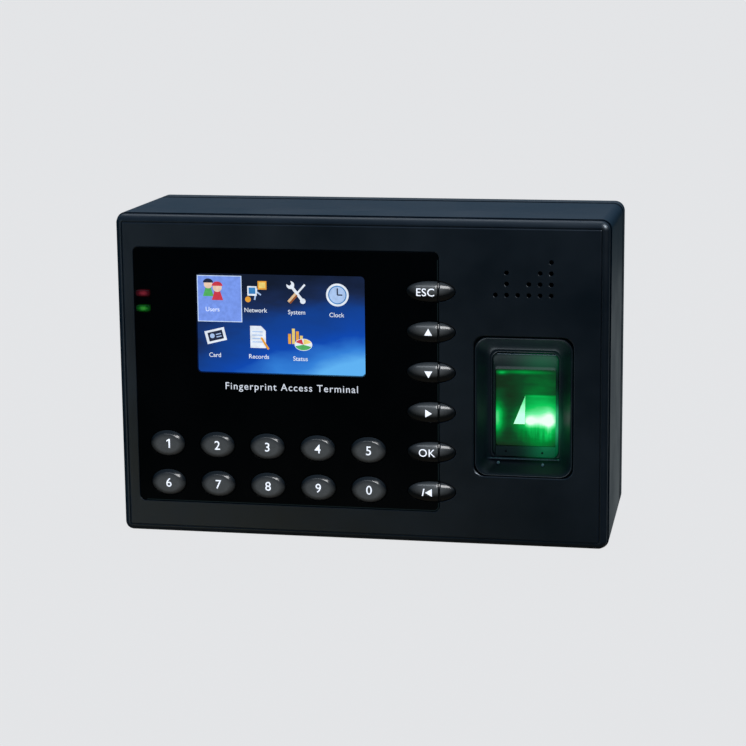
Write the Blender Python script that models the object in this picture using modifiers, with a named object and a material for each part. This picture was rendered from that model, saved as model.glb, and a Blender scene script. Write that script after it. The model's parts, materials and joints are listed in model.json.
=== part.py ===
"""Wall-mounted fingerprint terminal, modelled as the pieces it comes apart into.

+X is to the right seen from the front, +Z is up and the front faces -Y. The origin is the
centre of the wall plate's back face, so the wall is the plane y = 0. Every length below is in
millimetres, and finish() scales each mesh to metres.
"""

import math

import bmesh
import bpy
from mathutils import Matrix, Vector

MM = 0.001

# Outside of the casing
HALF_WIDTH = 93.5
HALF_HEIGHT = 61.85
DEPTH = 64.0
CORNER = 3.8  # radius of the casing's upright corners, a little more than ROLL
WALL = 2.2
SIDE_DRAFT = 0.5  # how far the sides and the top draw in by the wall
FLOOR_DRAFT = 3.3  # how far the underside rises by the wall
GAP = 0.3  # between touching pieces

# Depths along Y, from the front to the wall
FACE = -DEPTH
STEP = 0.4  # the face stands this far proud of the rolled edge
ROLL = 3.2  # width of the rolled edge
COVER_INSIDE = FACE + 3.0
COVER_BACK = FACE + 4.4
LIP_BACK = FACE + 7.0
HOUSING_FRONT = COVER_BACK + GAP
HOUSING_BACK = -8.3
PANEL_FRONT = FACE + 0.1
PANEL_BACK = FACE + 0.9
RECESS_FLOOR = FACE + 1.2
BOSS_BACK = -50.0
BACK_WALL_FRONT = -4.3
BACK_WALL_BACK = -2.1
CASING_BACK = -0.3
MAIN_BOARD_FRONT = -30.0
MAIN_BOARD_BACK = -28.4
PLATE = 1.5  # sheet thickness of the wall plate

# Front panel and what shows through it
PANEL = (-85.8, 30.3, -48.6, 49.1)  # low x, high x, low z, high z
SCREEN = (-61.9, 2.7, 1.9, 39.7)
NUMBER_COLUMNS = [-74.4 + 19.5 * i for i in range(5)]
NUMBER_ROWS = [-26.0, -41.2]
NUMBER_RADII = (6.75, 5.0)
FUNCTION_X = 27.5
FUNCTION_ROWS = [34.7 - 15.15 * i for i in range(6)]
FUNCTION_RADII = (9.0, 3.85)
FUNCTION_NAMES = ["esc", "up", "down", "right", "ok", "left"]
KEY_TRAVEL = 0.9
LED_X = (-85.4, -80.0)
LED_HALF_HEIGHT = 1.25
LEDS = {"led_red_lens": 31.7, "led_green_lens": 25.9}

# Fingerprint sensor and loudspeaker
SENSOR = (43.4, 80.3, -34.4, 18.5)
SENSOR_X = 61.85
FUNNEL_MOUTH = (44.9, 78.8, -32.9, 17.0)
FUNNEL_FLOOR = (49.6, 74.1, -28.1, 11.4)
PLATEN = (SENSOR_X - 11.05, SENSOR_X + 11.05, -23.9, 5.0)
PLATEN_FRONT = -57.0
SPEAKER_X = 61.8
SPEAKER_Z = 38.5
SPEAKER_RADIUS = 14.0
GRILLE_PITCH = 4.1
GRILLE_START = (51.5, 34.0)
GRILLE_COLUMNS = [1, 3, 1, 2, 3, 4]  # holes in each column

# Fastening
SCREW_POSTS = [(86.3, 54.3), (-86.3, 54.3), (86.3, -51.0), (-86.3, -51.0)]
SCREW_RADIUS = 1.5
SCREW_HOLE = 1.8
BOARD_POSTS = [(-75.0, 45.0), (33.0, 45.0), (-75.0, -44.0), (33.0, -26.0)]
PLATE_HALF = (74.7, 46.0)
WALL_HOLES = [(60.0, 34.0), (-60.0, 34.0), (60.0, -34.0), (-60.0, -34.0)]
CABLE_WINDOW = (-20.0, 20.0, -39.0, -19.0)
TAMPER = (-60.0, 0.0)
LOCK_Y = -4.2

# Sockets in the underside: low x, high x and low y of each body, all against the main board
NETWORK = (-60.0, -44.0, -43.8)
USB = (-30.0, -16.9, -37.3)
POWER = (0.0, 9.0, -41.3)
SOCKET_MOUTH = -59.2

FINISHES = {  # colour, roughness, metallic
    "shell_black": ((0.022, 0.030, 0.040), 0.38, 0.0),
    "panel_black": ((0.004, 0.004, 0.005), 0.08, 0.0),
    "key_smoke": ((0.035, 0.036, 0.038), 0.22, 0.0),
    "screen_glass": ((0.020, 0.060, 0.180), 0.10, 0.0),
    "lens_red": ((0.500, 0.020, 0.020), 0.25, 0.0),
    "lens_green": ((0.020, 0.450, 0.060), 0.25, 0.0),
    "bezel_black": ((0.012, 0.014, 0.015), 0.30, 0.0),
    "platen_glass": ((0.020, 0.350, 0.090), 0.05, 0.0),
    "board_green": ((0.015, 0.120, 0.050), 0.50, 0.0),
    "silicone_grey": ((0.250, 0.250, 0.260), 0.70, 0.0),
    "steel": ((0.450, 0.460, 0.470), 0.35, 1.0),
    "diffuser_white": ((0.800, 0.800, 0.780), 0.50, 0.0),
    "paper_cone": ((0.030, 0.030, 0.030), 0.90, 0.0),
    "part_black": ((0.015, 0.015, 0.016), 0.50, 0.0),
    "socket_green": ((0.030, 0.250, 0.090), 0.45, 0.0),
    "ribbon_tan": ((0.450, 0.230, 0.080), 0.45, 0.0),
    "lens_clear": ((0.100, 0.110, 0.120), 0.05, 0.0),
}


def collection(name):
    made = bpy.data.collections.new(name)
    bpy.context.scene.collection.children.link(made)
    return made


for old in list(bpy.data.objects):
    bpy.data.objects.remove(old, do_unlink=True)
PARTS = collection("fingerprint_terminal")
CUTTERS = collection("cutters")


def material(slot):
    if slot in bpy.data.materials:
        return bpy.data.materials[slot]
    colour, roughness, metallic = FINISHES[slot]
    made = bpy.data.materials.new(slot)
    made.use_nodes = True
    shader = made.node_tree.nodes["Principled BSDF"]
    shader.inputs["Base Color"].default_value = (*colour, 1.0)
    shader.inputs["Roughness"].default_value = roughness
    shader.inputs["Metallic"].default_value = metallic
    return made


# Shapes, in millimetres


def block(x0, x1, y0, y1, z0, z1, corner=0.0, segments=4):
    """A box; corner rounds the four edges that run from front to back."""
    bm = bmesh.new()
    bmesh.ops.create_cube(bm, size=1.0)
    size = Matrix.Diagonal((x1 - x0, y1 - y0, z1 - z0, 1.0))
    middle = Matrix.Translation(((x0 + x1) / 2, (y0 + y1) / 2, (z0 + z1) / 2))
    bmesh.ops.transform(bm, matrix=middle @ size, verts=bm.verts)
    if corner:
        long_edges = [e for e in bm.edges if abs(e.verts[0].co.y - e.verts[1].co.y) > 1e-6]
        bmesh.ops.bevel(
            bm, geom=long_edges, offset=corner, segments=segments, profile=0.5, affect="EDGES"
        )
    return bm


def drafted(bm):
    """Draws a casing shape in towards the wall, the underside most."""
    for vertex in bm.verts:
        share = (vertex.co.y + DEPTH) / DEPTH
        vertex.co.x *= 1 - SIDE_DRAFT / HALF_WIDTH * share
        rise = FLOOR_DRAFT if vertex.co.z < 0 else SIDE_DRAFT
        vertex.co.z *= 1 - rise / HALF_HEIGHT * share
    return bm


def casing_block(inset, y0, y1, corner):
    x = HALF_WIDTH - inset
    z = HALF_HEIGHT - inset
    return drafted(block(-x, x, y0, y1, -z, z, corner))


def turned(profile, x, z, radii=(1.0, 1.0), segments=16):
    """A solid of revolution about a line along Y; profile lists (radius, y), front to back."""
    bm = bmesh.new()
    verts = [bm.verts.new((r, y, 0.0)) for r, y in profile]
    edges = [bm.edges.new(pair) for pair in zip(verts, verts[1:])]
    bmesh.ops.spin(
        bm,
        geom=verts + edges,
        cent=(0, 0, 0),
        axis=(0, 1, 0),
        angle=2 * math.pi,
        steps=segments,
        use_merge=True,
    )
    bmesh.ops.remove_doubles(bm, verts=bm.verts, dist=1e-4)
    stretch = Matrix.Diagonal((radii[0], 1.0, radii[1], 1.0))
    bmesh.ops.transform(bm, matrix=Matrix.Translation((x, 0, z)) @ stretch, verts=bm.verts)
    return bm


def cylinder(x, z, radius, y0, y1, segments=16):
    return turned([(0, y0), (radius, y0), (radius, y1), (0, y1)], x, z, segments=segments)


def oval(x, z, radii, y0, y1):
    return turned([(0, y0), (1, y0), (1, y1), (0, y1)], x, z, radii)


def upright(x, y, radius, z0, z1):
    """A cylinder that runs along Z."""
    bm = cylinder(0, 0, radius, z0, z1)
    turn = Matrix.Rotation(math.pi / 2, 4, "X")
    bmesh.ops.transform(bm, matrix=Matrix.Translation((x, y, 0)) @ turn, verts=bm.verts)
    return bm


def merged(shapes):
    """Several shapes that stay clear of each other, as one mesh."""
    bm = bmesh.new()
    for shape in shapes:
        bmesh.ops.recalc_face_normals(shape, faces=shape.faces)
        part = bpy.data.meshes.new("shape")
        shape.to_mesh(part)
        shape.free()
        bm.from_mesh(part)
        bpy.data.meshes.remove(part)
    return bm


def finish(name, bm, slot, home=None, pivot=(0.0, 0.0, 0.0)):
    """Makes the shape an object in metres, with its origin at pivot."""
    bmesh.ops.recalc_face_normals(bm, faces=bm.faces)
    bmesh.ops.translate(bm, vec=-Vector(pivot), verts=bm.verts)
    bmesh.ops.scale(bm, vec=(MM, MM, MM), verts=bm.verts)
    mesh = bpy.data.meshes.new(name)
    bm.to_mesh(mesh)
    bm.free()
    made = bpy.data.objects.new(name, mesh)
    made.location = Vector(pivot) * MM
    (home or PARTS).objects.link(made)
    if slot:
        mesh.materials.append(material(slot))
        mesh.shade_smooth()
        mesh.set_sharp_from_angle(angle=math.radians(35))
    return made


def shape_with(target, shapes, operation):
    tool = finish(f"{target.name}_tool_{len(target.modifiers)}", merged(shapes), None, CUTTERS)
    tool.hide_render = True
    tool.display_type = "WIRE"
    modifier = target.modifiers.new(tool.name, "BOOLEAN")
    modifier.operation = operation
    modifier.object = tool


def cut(target, *shapes):
    shape_with(target, shapes, "DIFFERENCE")


def join(target, *shapes):
    shape_with(target, shapes, "UNION")


def ribbon(name, slot, path, low, high, along):
    """A flat cable: a strip through path, as wide as low to high along the X or Z axis."""
    bm = bmesh.new()
    sides = []
    for across in (low, high):
        if along == "X":
            sides.append([bm.verts.new((across, y, z)) for y, z in path])
        else:
            sides.append([bm.verts.new((x, y, across)) for x, y in path])
    for i in range(len(path) - 1):
        bm.faces.new((sides[0][i], sides[0][i + 1], sides[1][i + 1], sides[1][i]))
    made = finish(name, bm, slot)
    thick = made.modifiers.new("thickness", "SOLIDIFY")
    thick.thickness = 0.3 * MM
    thick.offset = 0.0
    return made


# Casing


def front_cover():
    bm = block(
        -HALF_WIDTH, HALF_WIDTH, FACE + STEP, COVER_BACK, -HALF_HEIGHT, HALF_HEIGHT, CORNER
    )
    front = min(bm.faces, key=lambda f: f.calc_center_median().y)
    bmesh.ops.bevel(
        bm, geom=list(front.edges), offset=ROLL, segments=3, profile=0.5, affect="EDGES"
    )
    front = min(bm.faces, key=lambda f: f.calc_center_median().y)
    bmesh.ops.inset_region(bm, faces=[front], thickness=0.3)
    raised = bmesh.ops.extrude_face_region(bm, geom=[front])
    lifted = [v for v in raised["geom"] if isinstance(v, bmesh.types.BMVert)]
    bmesh.ops.translate(bm, vec=(0, -STEP, 0), verts=lifted)
    bmesh.ops.delete(bm, geom=[front], context="FACES_ONLY")
    cover = finish("front_cover", drafted(bm), "shell_black")
    x0, x1, z0, z1 = PANEL
    cut(cover, block(x0 - GAP, x1 + GAP, FACE - 5, RECESS_FLOOR, z0 - GAP, z1 + GAP, 2.3))
    lip = WALL + GAP
    join(cover, casing_block(lip, COVER_INSIDE - 0.6, LIP_BACK, 1.5))
    cut(cover, casing_block(lip + 1.3, COVER_INSIDE, LIP_BACK + 1, 1.0))
    bosses = [cylinder(x, z, 4.0, COVER_INSIDE - 0.5, BOSS_BACK, 12) for x, z in SCREW_POSTS]
    stakes = [(-70.0, -16.8), (0.0, -16.8), (14.5, -33.6)]
    bosses += [cylinder(x, z, 1.2, COVER_INSIDE - 0.5, -56.2, 8) for x, z in stakes]
    join(cover, *bosses)
    holes = [oval(x, z, grown(NUMBER_RADII), -70, -55) for x, z in number_places()]
    holes += [oval(FUNCTION_X, z, grown(FUNCTION_RADII), -70, -55) for z in FUNCTION_ROWS]
    holes += [led_slot(z) for z in LEDS.values()]
    x0, x1, z0, z1 = SCREEN
    holes.append(block(x0 - GAP, x1 + GAP, -70, -55, z0 - GAP, z1 + GAP, 1.4))
    x0, x1, z0, z1 = SENSOR
    holes.append(block(x0, x1, -70, -55, z0, z1, 4.0))
    holes += [cylinder(x, z, 0.85, -70, -55, 8) for x, z in grille_places()]
    holes += [cylinder(x, z, SCREW_HOLE, -53.0, -40.0, 10) for x, z in SCREW_POSTS]
    cut(cover, *holes)


def main_housing():
    housing = finish(
        "main_housing", casing_block(0.0, HOUSING_FRONT, HOUSING_BACK, CORNER), "shell_black"
    )
    cut(housing, casing_block(WALL, HOUSING_FRONT - 5, HOUSING_BACK + 5, 1.0))
    posts = []
    for x, z in SCREW_POSTS:
        x0, x1 = sorted((math.copysign(81.3, x), math.copysign(92.4, x)))
        z0, z1 = (49.3, 60.6) if z > 0 else (-60.6, -46.5)
        posts.append(drafted(block(x0, x1, BOSS_BACK + GAP, HOUSING_BACK - 0.3, z0, z1)))
    join(housing, *posts)
    holes = [cylinder(x, z, SCREW_HOLE, -60, 0, 10) for x, z in SCREW_POSTS]
    for x0, x1, y0 in (NETWORK, USB, POWER):
        y1 = MAIN_BOARD_FRONT - GAP
        holes.append(block(x0 - GAP, x1 + GAP, y0 - GAP, y1 + GAP, -66, -54))
    cut(housing, *holes)


def back_cover():
    cover = finish(
        "back_cover", casing_block(0.0, HOUSING_BACK + GAP, CASING_BACK, CORNER), "shell_black"
    )
    cut(cover, casing_block(WALL, HOUSING_BACK - 5, BACK_WALL_FRONT, 1.0))
    join(cover, *[cylinder(x, z, 3.0, MAIN_BOARD_BACK + GAP, -3.6, 10) for x, z in BOARD_POSTS])
    x, z = PLATE_HALF
    cut(cover, block(-x - GAP, x + GAP, BACK_WALL_BACK, 5, -z - GAP, z + GAP, 2.0))
    cut(cover, block(-6.4, 6.4, BACK_WALL_BACK, 6, -55.8, -45))
    holes = [block(-6.4, 6.4, -9, 7, -55.8, -53.5)]
    x0, x1, z0, z1 = CABLE_WINDOW
    holes.append(block(x0, x1, -9, 7, z0, z1, 2.0))
    holes += [block(x - 5.6, x + 5.6, -9, 7, 28.0, 36.0) for x in (-50, 50)]
    holes.append(cylinder(*TAMPER, 2.2, -9, 7, 12))
    holes += [cylinder(x, z, SCREW_HOLE, -9, 7, 10) for x, z in SCREW_POSTS]
    cut(cover, *holes)
    cut(cover, *[cylinder(x, z, 3.3, -2.5, 7, 14) for x, z in SCREW_POSTS])
    cut(cover, upright(0, LOCK_Y, SCREW_HOLE, -66, -49))


def wall_plate():
    x, z = PLATE_HALF
    plate = finish("wall_plate", block(-x, x, -PLATE, 0, -z, z, 1.7), "steel")
    join(plate, block(-6, 6, -PLATE, 0, -55.4, -45))
    join(plate, block(-6, 6, -7.5, 0, -55.4, -53.9))
    for side in (-50, 50):
        join(plate, block(side - 5, side + 5, -6.8, -0.4, 30, 31.5))
        join(plate, block(side - 5, side + 5, -6.8, -5.3, 30, 34.5))
    holes = [cylinder(x, z, 2.3, -5, 5) for x, z in WALL_HOLES]
    x0, x1, z0, z1 = CABLE_WINDOW
    holes.append(block(x0, x1, -5, 5, z0, z1, 2.0))
    holes.append(upright(0, LOCK_Y, SCREW_HOLE, -60, -52))
    cut(plate, *holes)


def screw(name, place, along_z=False):
    """A cross-head screw. place is its axis: (x, z), or (x, y) for one that runs upwards."""
    head, length = (-59.0, 9.0) if along_z else (-2.2, 49.8)
    out = -1 if along_z else 1
    profile = [
        (0, head + 1.6 * out),
        (2.4, head + 1.6 * out),
        (2.8, head + 1.1 * out),
        (2.8, head),
        (SCREW_RADIUS, head),
        (SCREW_RADIUS, head - length * out),
        (0, head - length * out),
    ]
    bm = turned(profile, 0, 0, segments=12)
    slots = [
        block(-a, a, head + 0.8 * out, head + 3 * out, -b, b) for a, b in ((1.6, 0.3), (0.3, 1.6))
    ]
    if along_z:
        turn = Matrix.Rotation(math.pi / 2, 4, "X")
        move = Matrix.Translation((place[0], place[1], 0)) @ turn
    else:
        move = Matrix.Translation((place[0], 0, place[1]))
    for shape in (bm, *slots):
        bmesh.ops.transform(shape, matrix=move, verts=shape.verts)
    made = finish(name, bm, "steel")
    for slot in slots:
        cut(made, slot)


# Panel, keys and lamps


def grown(radii):
    return (radii[0] + GAP, radii[1] + GAP)


def number_places():
    return [(x, z) for z in NUMBER_ROWS for x in NUMBER_COLUMNS]


def grille_places():
    x, z = GRILLE_START
    return [
        (x + GRILLE_PITCH * column, z + GRILLE_PITCH * row)
        for column, count in enumerate(GRILLE_COLUMNS)
        for row in range(count)
    ]


def led_slot(z):
    half = LED_HALF_HEIGHT + GAP
    return block(LED_X[0] - GAP, LED_X[1] + GAP, -70, -55, z - half, z + half)


def display_panel():
    x0, x1, z0, z1 = PANEL
    panel = finish(
        "display_panel", block(x0, x1, PANEL_FRONT, PANEL_BACK, z0, z1, 2.0), "panel_black"
    )
    holes = [oval(x, z, grown(NUMBER_RADII), -70, -60) for x, z in number_places()]
    holes += [oval(FUNCTION_X, z, grown(FUNCTION_RADII), -70, -60) for z in FUNCTION_ROWS]
    x0, x1, z0, z1 = SCREEN
    holes.append(block(x0, x1, -70, -60, z0, z1, 1.4))
    half = LED_HALF_HEIGHT + GAP
    holes += [
        block(-90, LED_X[1] + GAP, -70, -60, z - half, z + half) for z in LEDS.values()
    ]
    cut(panel, *holes)


def key(name, x, z, radii):
    """A domed key: rounded top, skirt through the cover, flange behind it and a foot."""
    flange = COVER_INSIDE + GAP
    profile = [
        (0, PANEL_FRONT - 1.35),
        (0.50, PANEL_FRONT - 1.2),
        (0.84, PANEL_FRONT - 0.75),
        (1.0, PANEL_FRONT - 0.1),
        (1.0, flange),
        (1.13, flange),
        (1.13, flange + 0.8),
        (0.5, flange + 0.8),
        (0.5, flange + 1.5),
        (0, flange + 1.5),
    ]
    finish(name, turned(profile, x, z, radii), "key_smoke", pivot=(x, flange, z))


def keys():
    for digit, (x, z) in zip("1234567890", number_places()):
        key(f"key_{digit}", x, z, NUMBER_RADII)
    for name, z in zip(FUNCTION_NAMES, FUNCTION_ROWS):
        key(f"key_{name}", FUNCTION_X, z, FUNCTION_RADII)


def key_mats():
    number = finish("number_key_mat", block(-82, 12.5, -57, -56.2, -46.6, -19.5), "silicone_grey")
    join(number, *[cylinder(x, z, 3.0, -58.0, -56.6, 10) for x, z in number_places()])
    function = finish(
        "function_key_mat", block(16.5, 38.5, -57, -56.2, -46.6, 41.5), "silicone_grey"
    )
    join(function, *[cylinder(FUNCTION_X, z, 2.4, -58.0, -56.6, 10) for z in FUNCTION_ROWS])


def keypad_board():
    board = finish("keypad_board", block(-86, 39, -55.9, -54.3, -46.6, -15), "board_green")
    join(board, block(17, 39, -55.9, -54.3, -40, 43))
    join(board, block(-86, -69, -55.9, -54.3, -40, 37))


def led_lenses():
    for name, z in LEDS.items():
        low, high = LED_X
        tall = LED_HALF_HEIGHT
        lens = finish(
            name,
            block(low, high, PANEL_FRONT - 0.1, -60, z - tall, z + tall),
            "lens_red" if "red" in name else "lens_green",
        )
        join(lens, block(low - 0.8, high + 0.8, -60.7, -59.7, z - tall - 0.9, z + tall + 0.9))


def display():
    x0, x1, z0, z1 = SCREEN
    glass = block(x0 + GAP, x1 - GAP, -63.6, -60.9, z0 + GAP, z1 - GAP, 1.1)
    finish("lcd_glass", glass, "screen_glass")
    frame = finish("lcd_frame", block(-66.5, 7.3, -60.7, -56.8, -3, 44), "steel")
    cut(frame, block(-64.7, 5.5, -66, -50, -1.2, 42.2))
    finish("lcd_backlight", block(-64.4, 5.2, -60.6, -57.2, -0.9, 41.9), "diffuser_white")


# Fingerprint sensor


def funnel(mouth, floor, y0, y1, corner):
    """A rounded box whose front is mouth and whose back is floor."""
    bm = block(*mouth[:2], y0, y1, *mouth[2:], corner)
    for vertex in bm.verts:
        if vertex.co.y < (y0 + y1) / 2:
            continue
        for axis, low, high in ((0, 0, 1), (2, 2, 3)):
            share = (vertex.co[axis] - mouth[low]) / (mouth[high] - mouth[low])
            vertex.co[axis] = floor[low] + share * (floor[high] - floor[low])
    return bm


def sensor():
    x0, x1, z0, z1 = SENSOR
    bezel = finish(
        "sensor_bezel",
        block(x0 + GAP, x1 - GAP, PANEL_FRONT, -56.7, z0 + GAP, z1 - GAP, 3.7),
        "bezel_black",
    )
    join(bezel, block(x0 - 1.9, x1 + 1.9, -60.7, -58.5, z0 - 1.9, z1 + 1.9, 3.0))
    cut(bezel, funnel(FUNNEL_MOUTH, FUNNEL_FLOOR, FACE - 0.2, -56.3, 3.0))
    x0, x1, z0, z1 = PLATEN
    chassis = finish("sensor_chassis", block(46.5, 77.2, -56.4, -32, -31, 14.2), "bezel_black")
    cut(chassis, block(x0 - GAP, x1 + GAP, -60, -50, z0 - GAP, z1 + GAP))
    cut(chassis, block(48.5, 75.2, -54.6, -30, -29, 12.2))
    prism = block(x0, x1, PLATEN_FRONT, -50, z0, z1)
    for vertex in prism.verts:
        if vertex.co.y > -51 and vertex.co.z > 0:
            vertex.co.y = -42
    finish("sensor_prism", prism, "platen_glass")
    finish("sensor_led_bar", block(52, 72, -53, -46, -28.4, -26.4), "board_green")
    lens = [(0, -40), (3.2, -40), (4.0, -39.2), (4.0, -32.6), (0, -32.6)]
    finish("sensor_lens", turned(lens, SENSOR_X, -12), "lens_clear")
    finish("sensor_board", block(46.5, 77.2, -31.6, -30, -31, 14.2), "board_green")


def speaker():
    basket = [
        (SPEAKER_RADIUS, -60.7),
        (SPEAKER_RADIUS, -59.9),
        (13.0, -59.9),
        (12.0, -56.6),
        (7.5, -55.4),
        (7.5, -56.2),
        (11.2, -57.3),
        (12.2, -60.7),
        (SPEAKER_RADIUS, -60.7),
    ]
    finish("speaker_frame", turned(basket, SPEAKER_X, SPEAKER_Z, segments=24), "part_black")
    cone = [(0, -59.2), (4, -58.4), (11.6, -60.4), (11.3, -60.0), (4, -57.9), (0, -57.9)]
    finish("speaker_cone", turned(cone, SPEAKER_X, SPEAKER_Z, segments=24), "paper_cone")
    magnet = [(0, -57.4), (4, -57.4), (4, -55), (7.8, -55), (7.8, -51), (0, -51)]
    finish("speaker_magnet", turned(magnet, SPEAKER_X, SPEAKER_Z, segments=20), "steel")


# Main board and what stands on it


def socket(name, x0, x1, y0, z1, slot):
    return finish(name, block(x0, x1, y0, MAIN_BOARD_FRONT - GAP, SOCKET_MOUTH, z1), slot)


def main_board():
    near = MAIN_BOARD_FRONT - GAP
    far = MAIN_BOARD_BACK + GAP
    finish(
        "main_board", block(-80, 38, MAIN_BOARD_FRONT, MAIN_BOARD_BACK, -52, 52), "board_green"
    )
    finish("processor_shield", block(-25, 8, near - 3, near, 14, 42), "steel")
    holder = finish("coin_cell_holder", block(-70, -47, near - 5, near, 19, 42), "part_black")
    cut(holder, cylinder(-58.5, 30.5, 10.4, near - 9, near - 1.4, 20))
    finish("coin_cell", cylinder(-58.5, 30.5, 10.0, near - 4.9, near - 1.7, 20), "steel")
    finish("buzzer", cylinder(24, 22, 6.0, near - 9, near, 16), "part_black")
    finish("relay", block(14, 33, near - 15.5, near, -50, -35), "part_black")
    network = socket("network_jack", *NETWORK, -37.7, "steel")
    cut(network, block(-57.85, -46.15, -42.4, -34.4, SOCKET_MOUTH - 5, -45))
    usb = socket("usb_socket", *USB, -45, "steel")
    cut(usb, block(-29.4, -17.5, -36.5, -31.1, SOCKET_MOUTH - 5, -47.2))
    power = socket("power_jack", *POWER, -45.2, "part_black")
    cut(power, upright(4.5, -35.8, 3.1, SOCKET_MOUTH - 5, -49.5))
    join(power, upright(4.5, -35.8, 1.0, SOCKET_MOUTH + 1, -48))
    x0, x1, z0, z1 = -18.0, 18.0, -36.0, -26.0
    terminals = finish("terminal_block", block(x0, x1, far, -16, z0, z1), "socket_green")
    wells = [block(x - 1.5, x + 1.5, -22, -10, -33, -29.5) for x in range(-15, 16, 5)]
    cut(terminals, *wells)


def tamper_switch():
    x, z = TAMPER
    far = MAIN_BOARD_BACK + GAP
    body = finish("tamper_switch", block(x - 4, x + 4, far, -12, z - 4, z + 4), "part_black")
    cut(body, cylinder(x, z, 1.9, -18, -5, 12))
    finish(
        "tamper_plunger",
        cylinder(x, z, 1.6, -17.2, -PLATE - GAP, 12),
        "diffuser_white",
        pivot=(x, -17.2, z),
    )


def cables():
    ribbon(
        "lcd_ribbon",
        "ribbon_tan",
        [(-56.2, 6), (-52, 9), (-36, 9), (-30.5, 6)],
        -44,
        -30,
        "X",
    )
    ribbon(
        "keypad_ribbon",
        "ribbon_tan",
        [(-53.9, -24), (-50, -21), (-35, -21), (-30.5, -24)],
        -44,
        -28,
        "X",
    )
    ribbon(
        "sensor_cable",
        "ribbon_tan",
        [(58, -29.5), (50, -25.5), (40, -25.5), (34, -27.9)],
        -6,
        6,
        "Z",
    )


front_cover()
main_housing()
back_cover()
wall_plate()
for number, post in enumerate(SCREW_POSTS, 1):
    screw(f"case_screw_{number}", post)
screw("locking_screw", (0, LOCK_Y), along_z=True)
display_panel()
keys()
key_mats()
keypad_board()
led_lenses()
display()
sensor()
speaker()
main_board()
tamper_switch()
cables()
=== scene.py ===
"""Looks of the wall-mounted fingerprint terminal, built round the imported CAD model.

Lengths are in millimetres until made() turns them into metres. The front faces -Y, the wall is
the plane y = 0, +X is to the right seen from the front and +Z is up. A rect is low x, high x,
low z and high z.
"""

import json
import math

import bmesh
import bpy
from mathutils import Matrix, Vector

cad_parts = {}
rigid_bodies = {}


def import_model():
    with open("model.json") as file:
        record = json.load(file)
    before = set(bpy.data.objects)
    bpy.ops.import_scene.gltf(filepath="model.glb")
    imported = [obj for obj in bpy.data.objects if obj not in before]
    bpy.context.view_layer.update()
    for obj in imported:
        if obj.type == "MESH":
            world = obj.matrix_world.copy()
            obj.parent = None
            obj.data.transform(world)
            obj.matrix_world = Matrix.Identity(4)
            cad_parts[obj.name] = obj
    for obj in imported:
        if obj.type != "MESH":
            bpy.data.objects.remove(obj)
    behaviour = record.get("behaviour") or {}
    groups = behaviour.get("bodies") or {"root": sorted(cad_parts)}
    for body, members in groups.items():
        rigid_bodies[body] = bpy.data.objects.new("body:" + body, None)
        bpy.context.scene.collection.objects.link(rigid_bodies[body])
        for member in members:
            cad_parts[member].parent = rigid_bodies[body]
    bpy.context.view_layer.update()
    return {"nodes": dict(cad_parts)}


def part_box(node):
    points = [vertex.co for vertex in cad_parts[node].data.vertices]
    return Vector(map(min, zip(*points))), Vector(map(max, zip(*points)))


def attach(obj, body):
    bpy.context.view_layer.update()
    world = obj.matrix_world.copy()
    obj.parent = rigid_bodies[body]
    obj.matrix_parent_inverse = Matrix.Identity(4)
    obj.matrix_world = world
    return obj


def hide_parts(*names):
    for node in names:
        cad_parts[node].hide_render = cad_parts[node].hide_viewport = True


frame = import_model()
MM = 0.001


def node_box(node):
    """Lowest and highest corners of a CAD node, in millimetres."""
    low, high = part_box(node)
    return Vector(low) / MM, Vector(high) / MM


def middle_of(node):
    low, high = node_box(node)
    return (low + high) / 2


def node_rect(node):
    low, high = node_box(node)
    return low.x, high.x, low.z, high.z


def wider(rect, grow):
    """A rect with each side moved out by grow."""
    x0, x1, z0, z1 = rect
    return x0 - grow, x1 + grow, z0 - grow, z1 + grow


COVER_LOW = node_box("front_cover")[0]
PANEL_LOW, PANEL_HIGH = node_box("display_panel")
PANEL_RECT = node_rect("display_panel")
GLASS_LOW, GLASS_HIGH = node_box("lcd_glass")
GLASS_RECT = node_rect("lcd_glass")
HOUSING_FRONT, HOUSING_BACK = (corner.y for corner in node_box("main_housing"))

# Casing
HALF_WIDTH = 93.5
HALF_HEIGHT = 61.85
DEPTH = 64.0
CORNER = 3.8
WALL = 2.2
SIDE_DRAFT = 0.5
FLOOR_DRAFT = 3.3
FACE = COVER_LOW.y  # the front plane of the raised face
STEP = 0.4
ROLL = 3.2
SEAM_STEP = 0.55  # the front cover sits this far inside the housing at their seam
COVER_BACK = FACE + 4.4
LIP_BACK = FACE + 7.0
INSIDE = FACE + 3.0
GAP = 0.3
SMOOTH = 32.0  # edges sharper than this many degrees stay sharp

# Wall plate and screws
PLATE = 1.5  # thickness
PLATE_RECT = (*node_rect("wall_plate")[:2], -46, 46)  # without its tongue
CABLE_WINDOW = (-20, 20, -39, -19)
HOOK_X = 50
THROUGH_BACK = (-9, 6)  # y of a cutter that goes through the plate and the back cover
LOCK_Y = -4.2
CASE_SCREWS = [f"case_screw_{i}" for i in (1, 2, 3, 4)]

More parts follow.
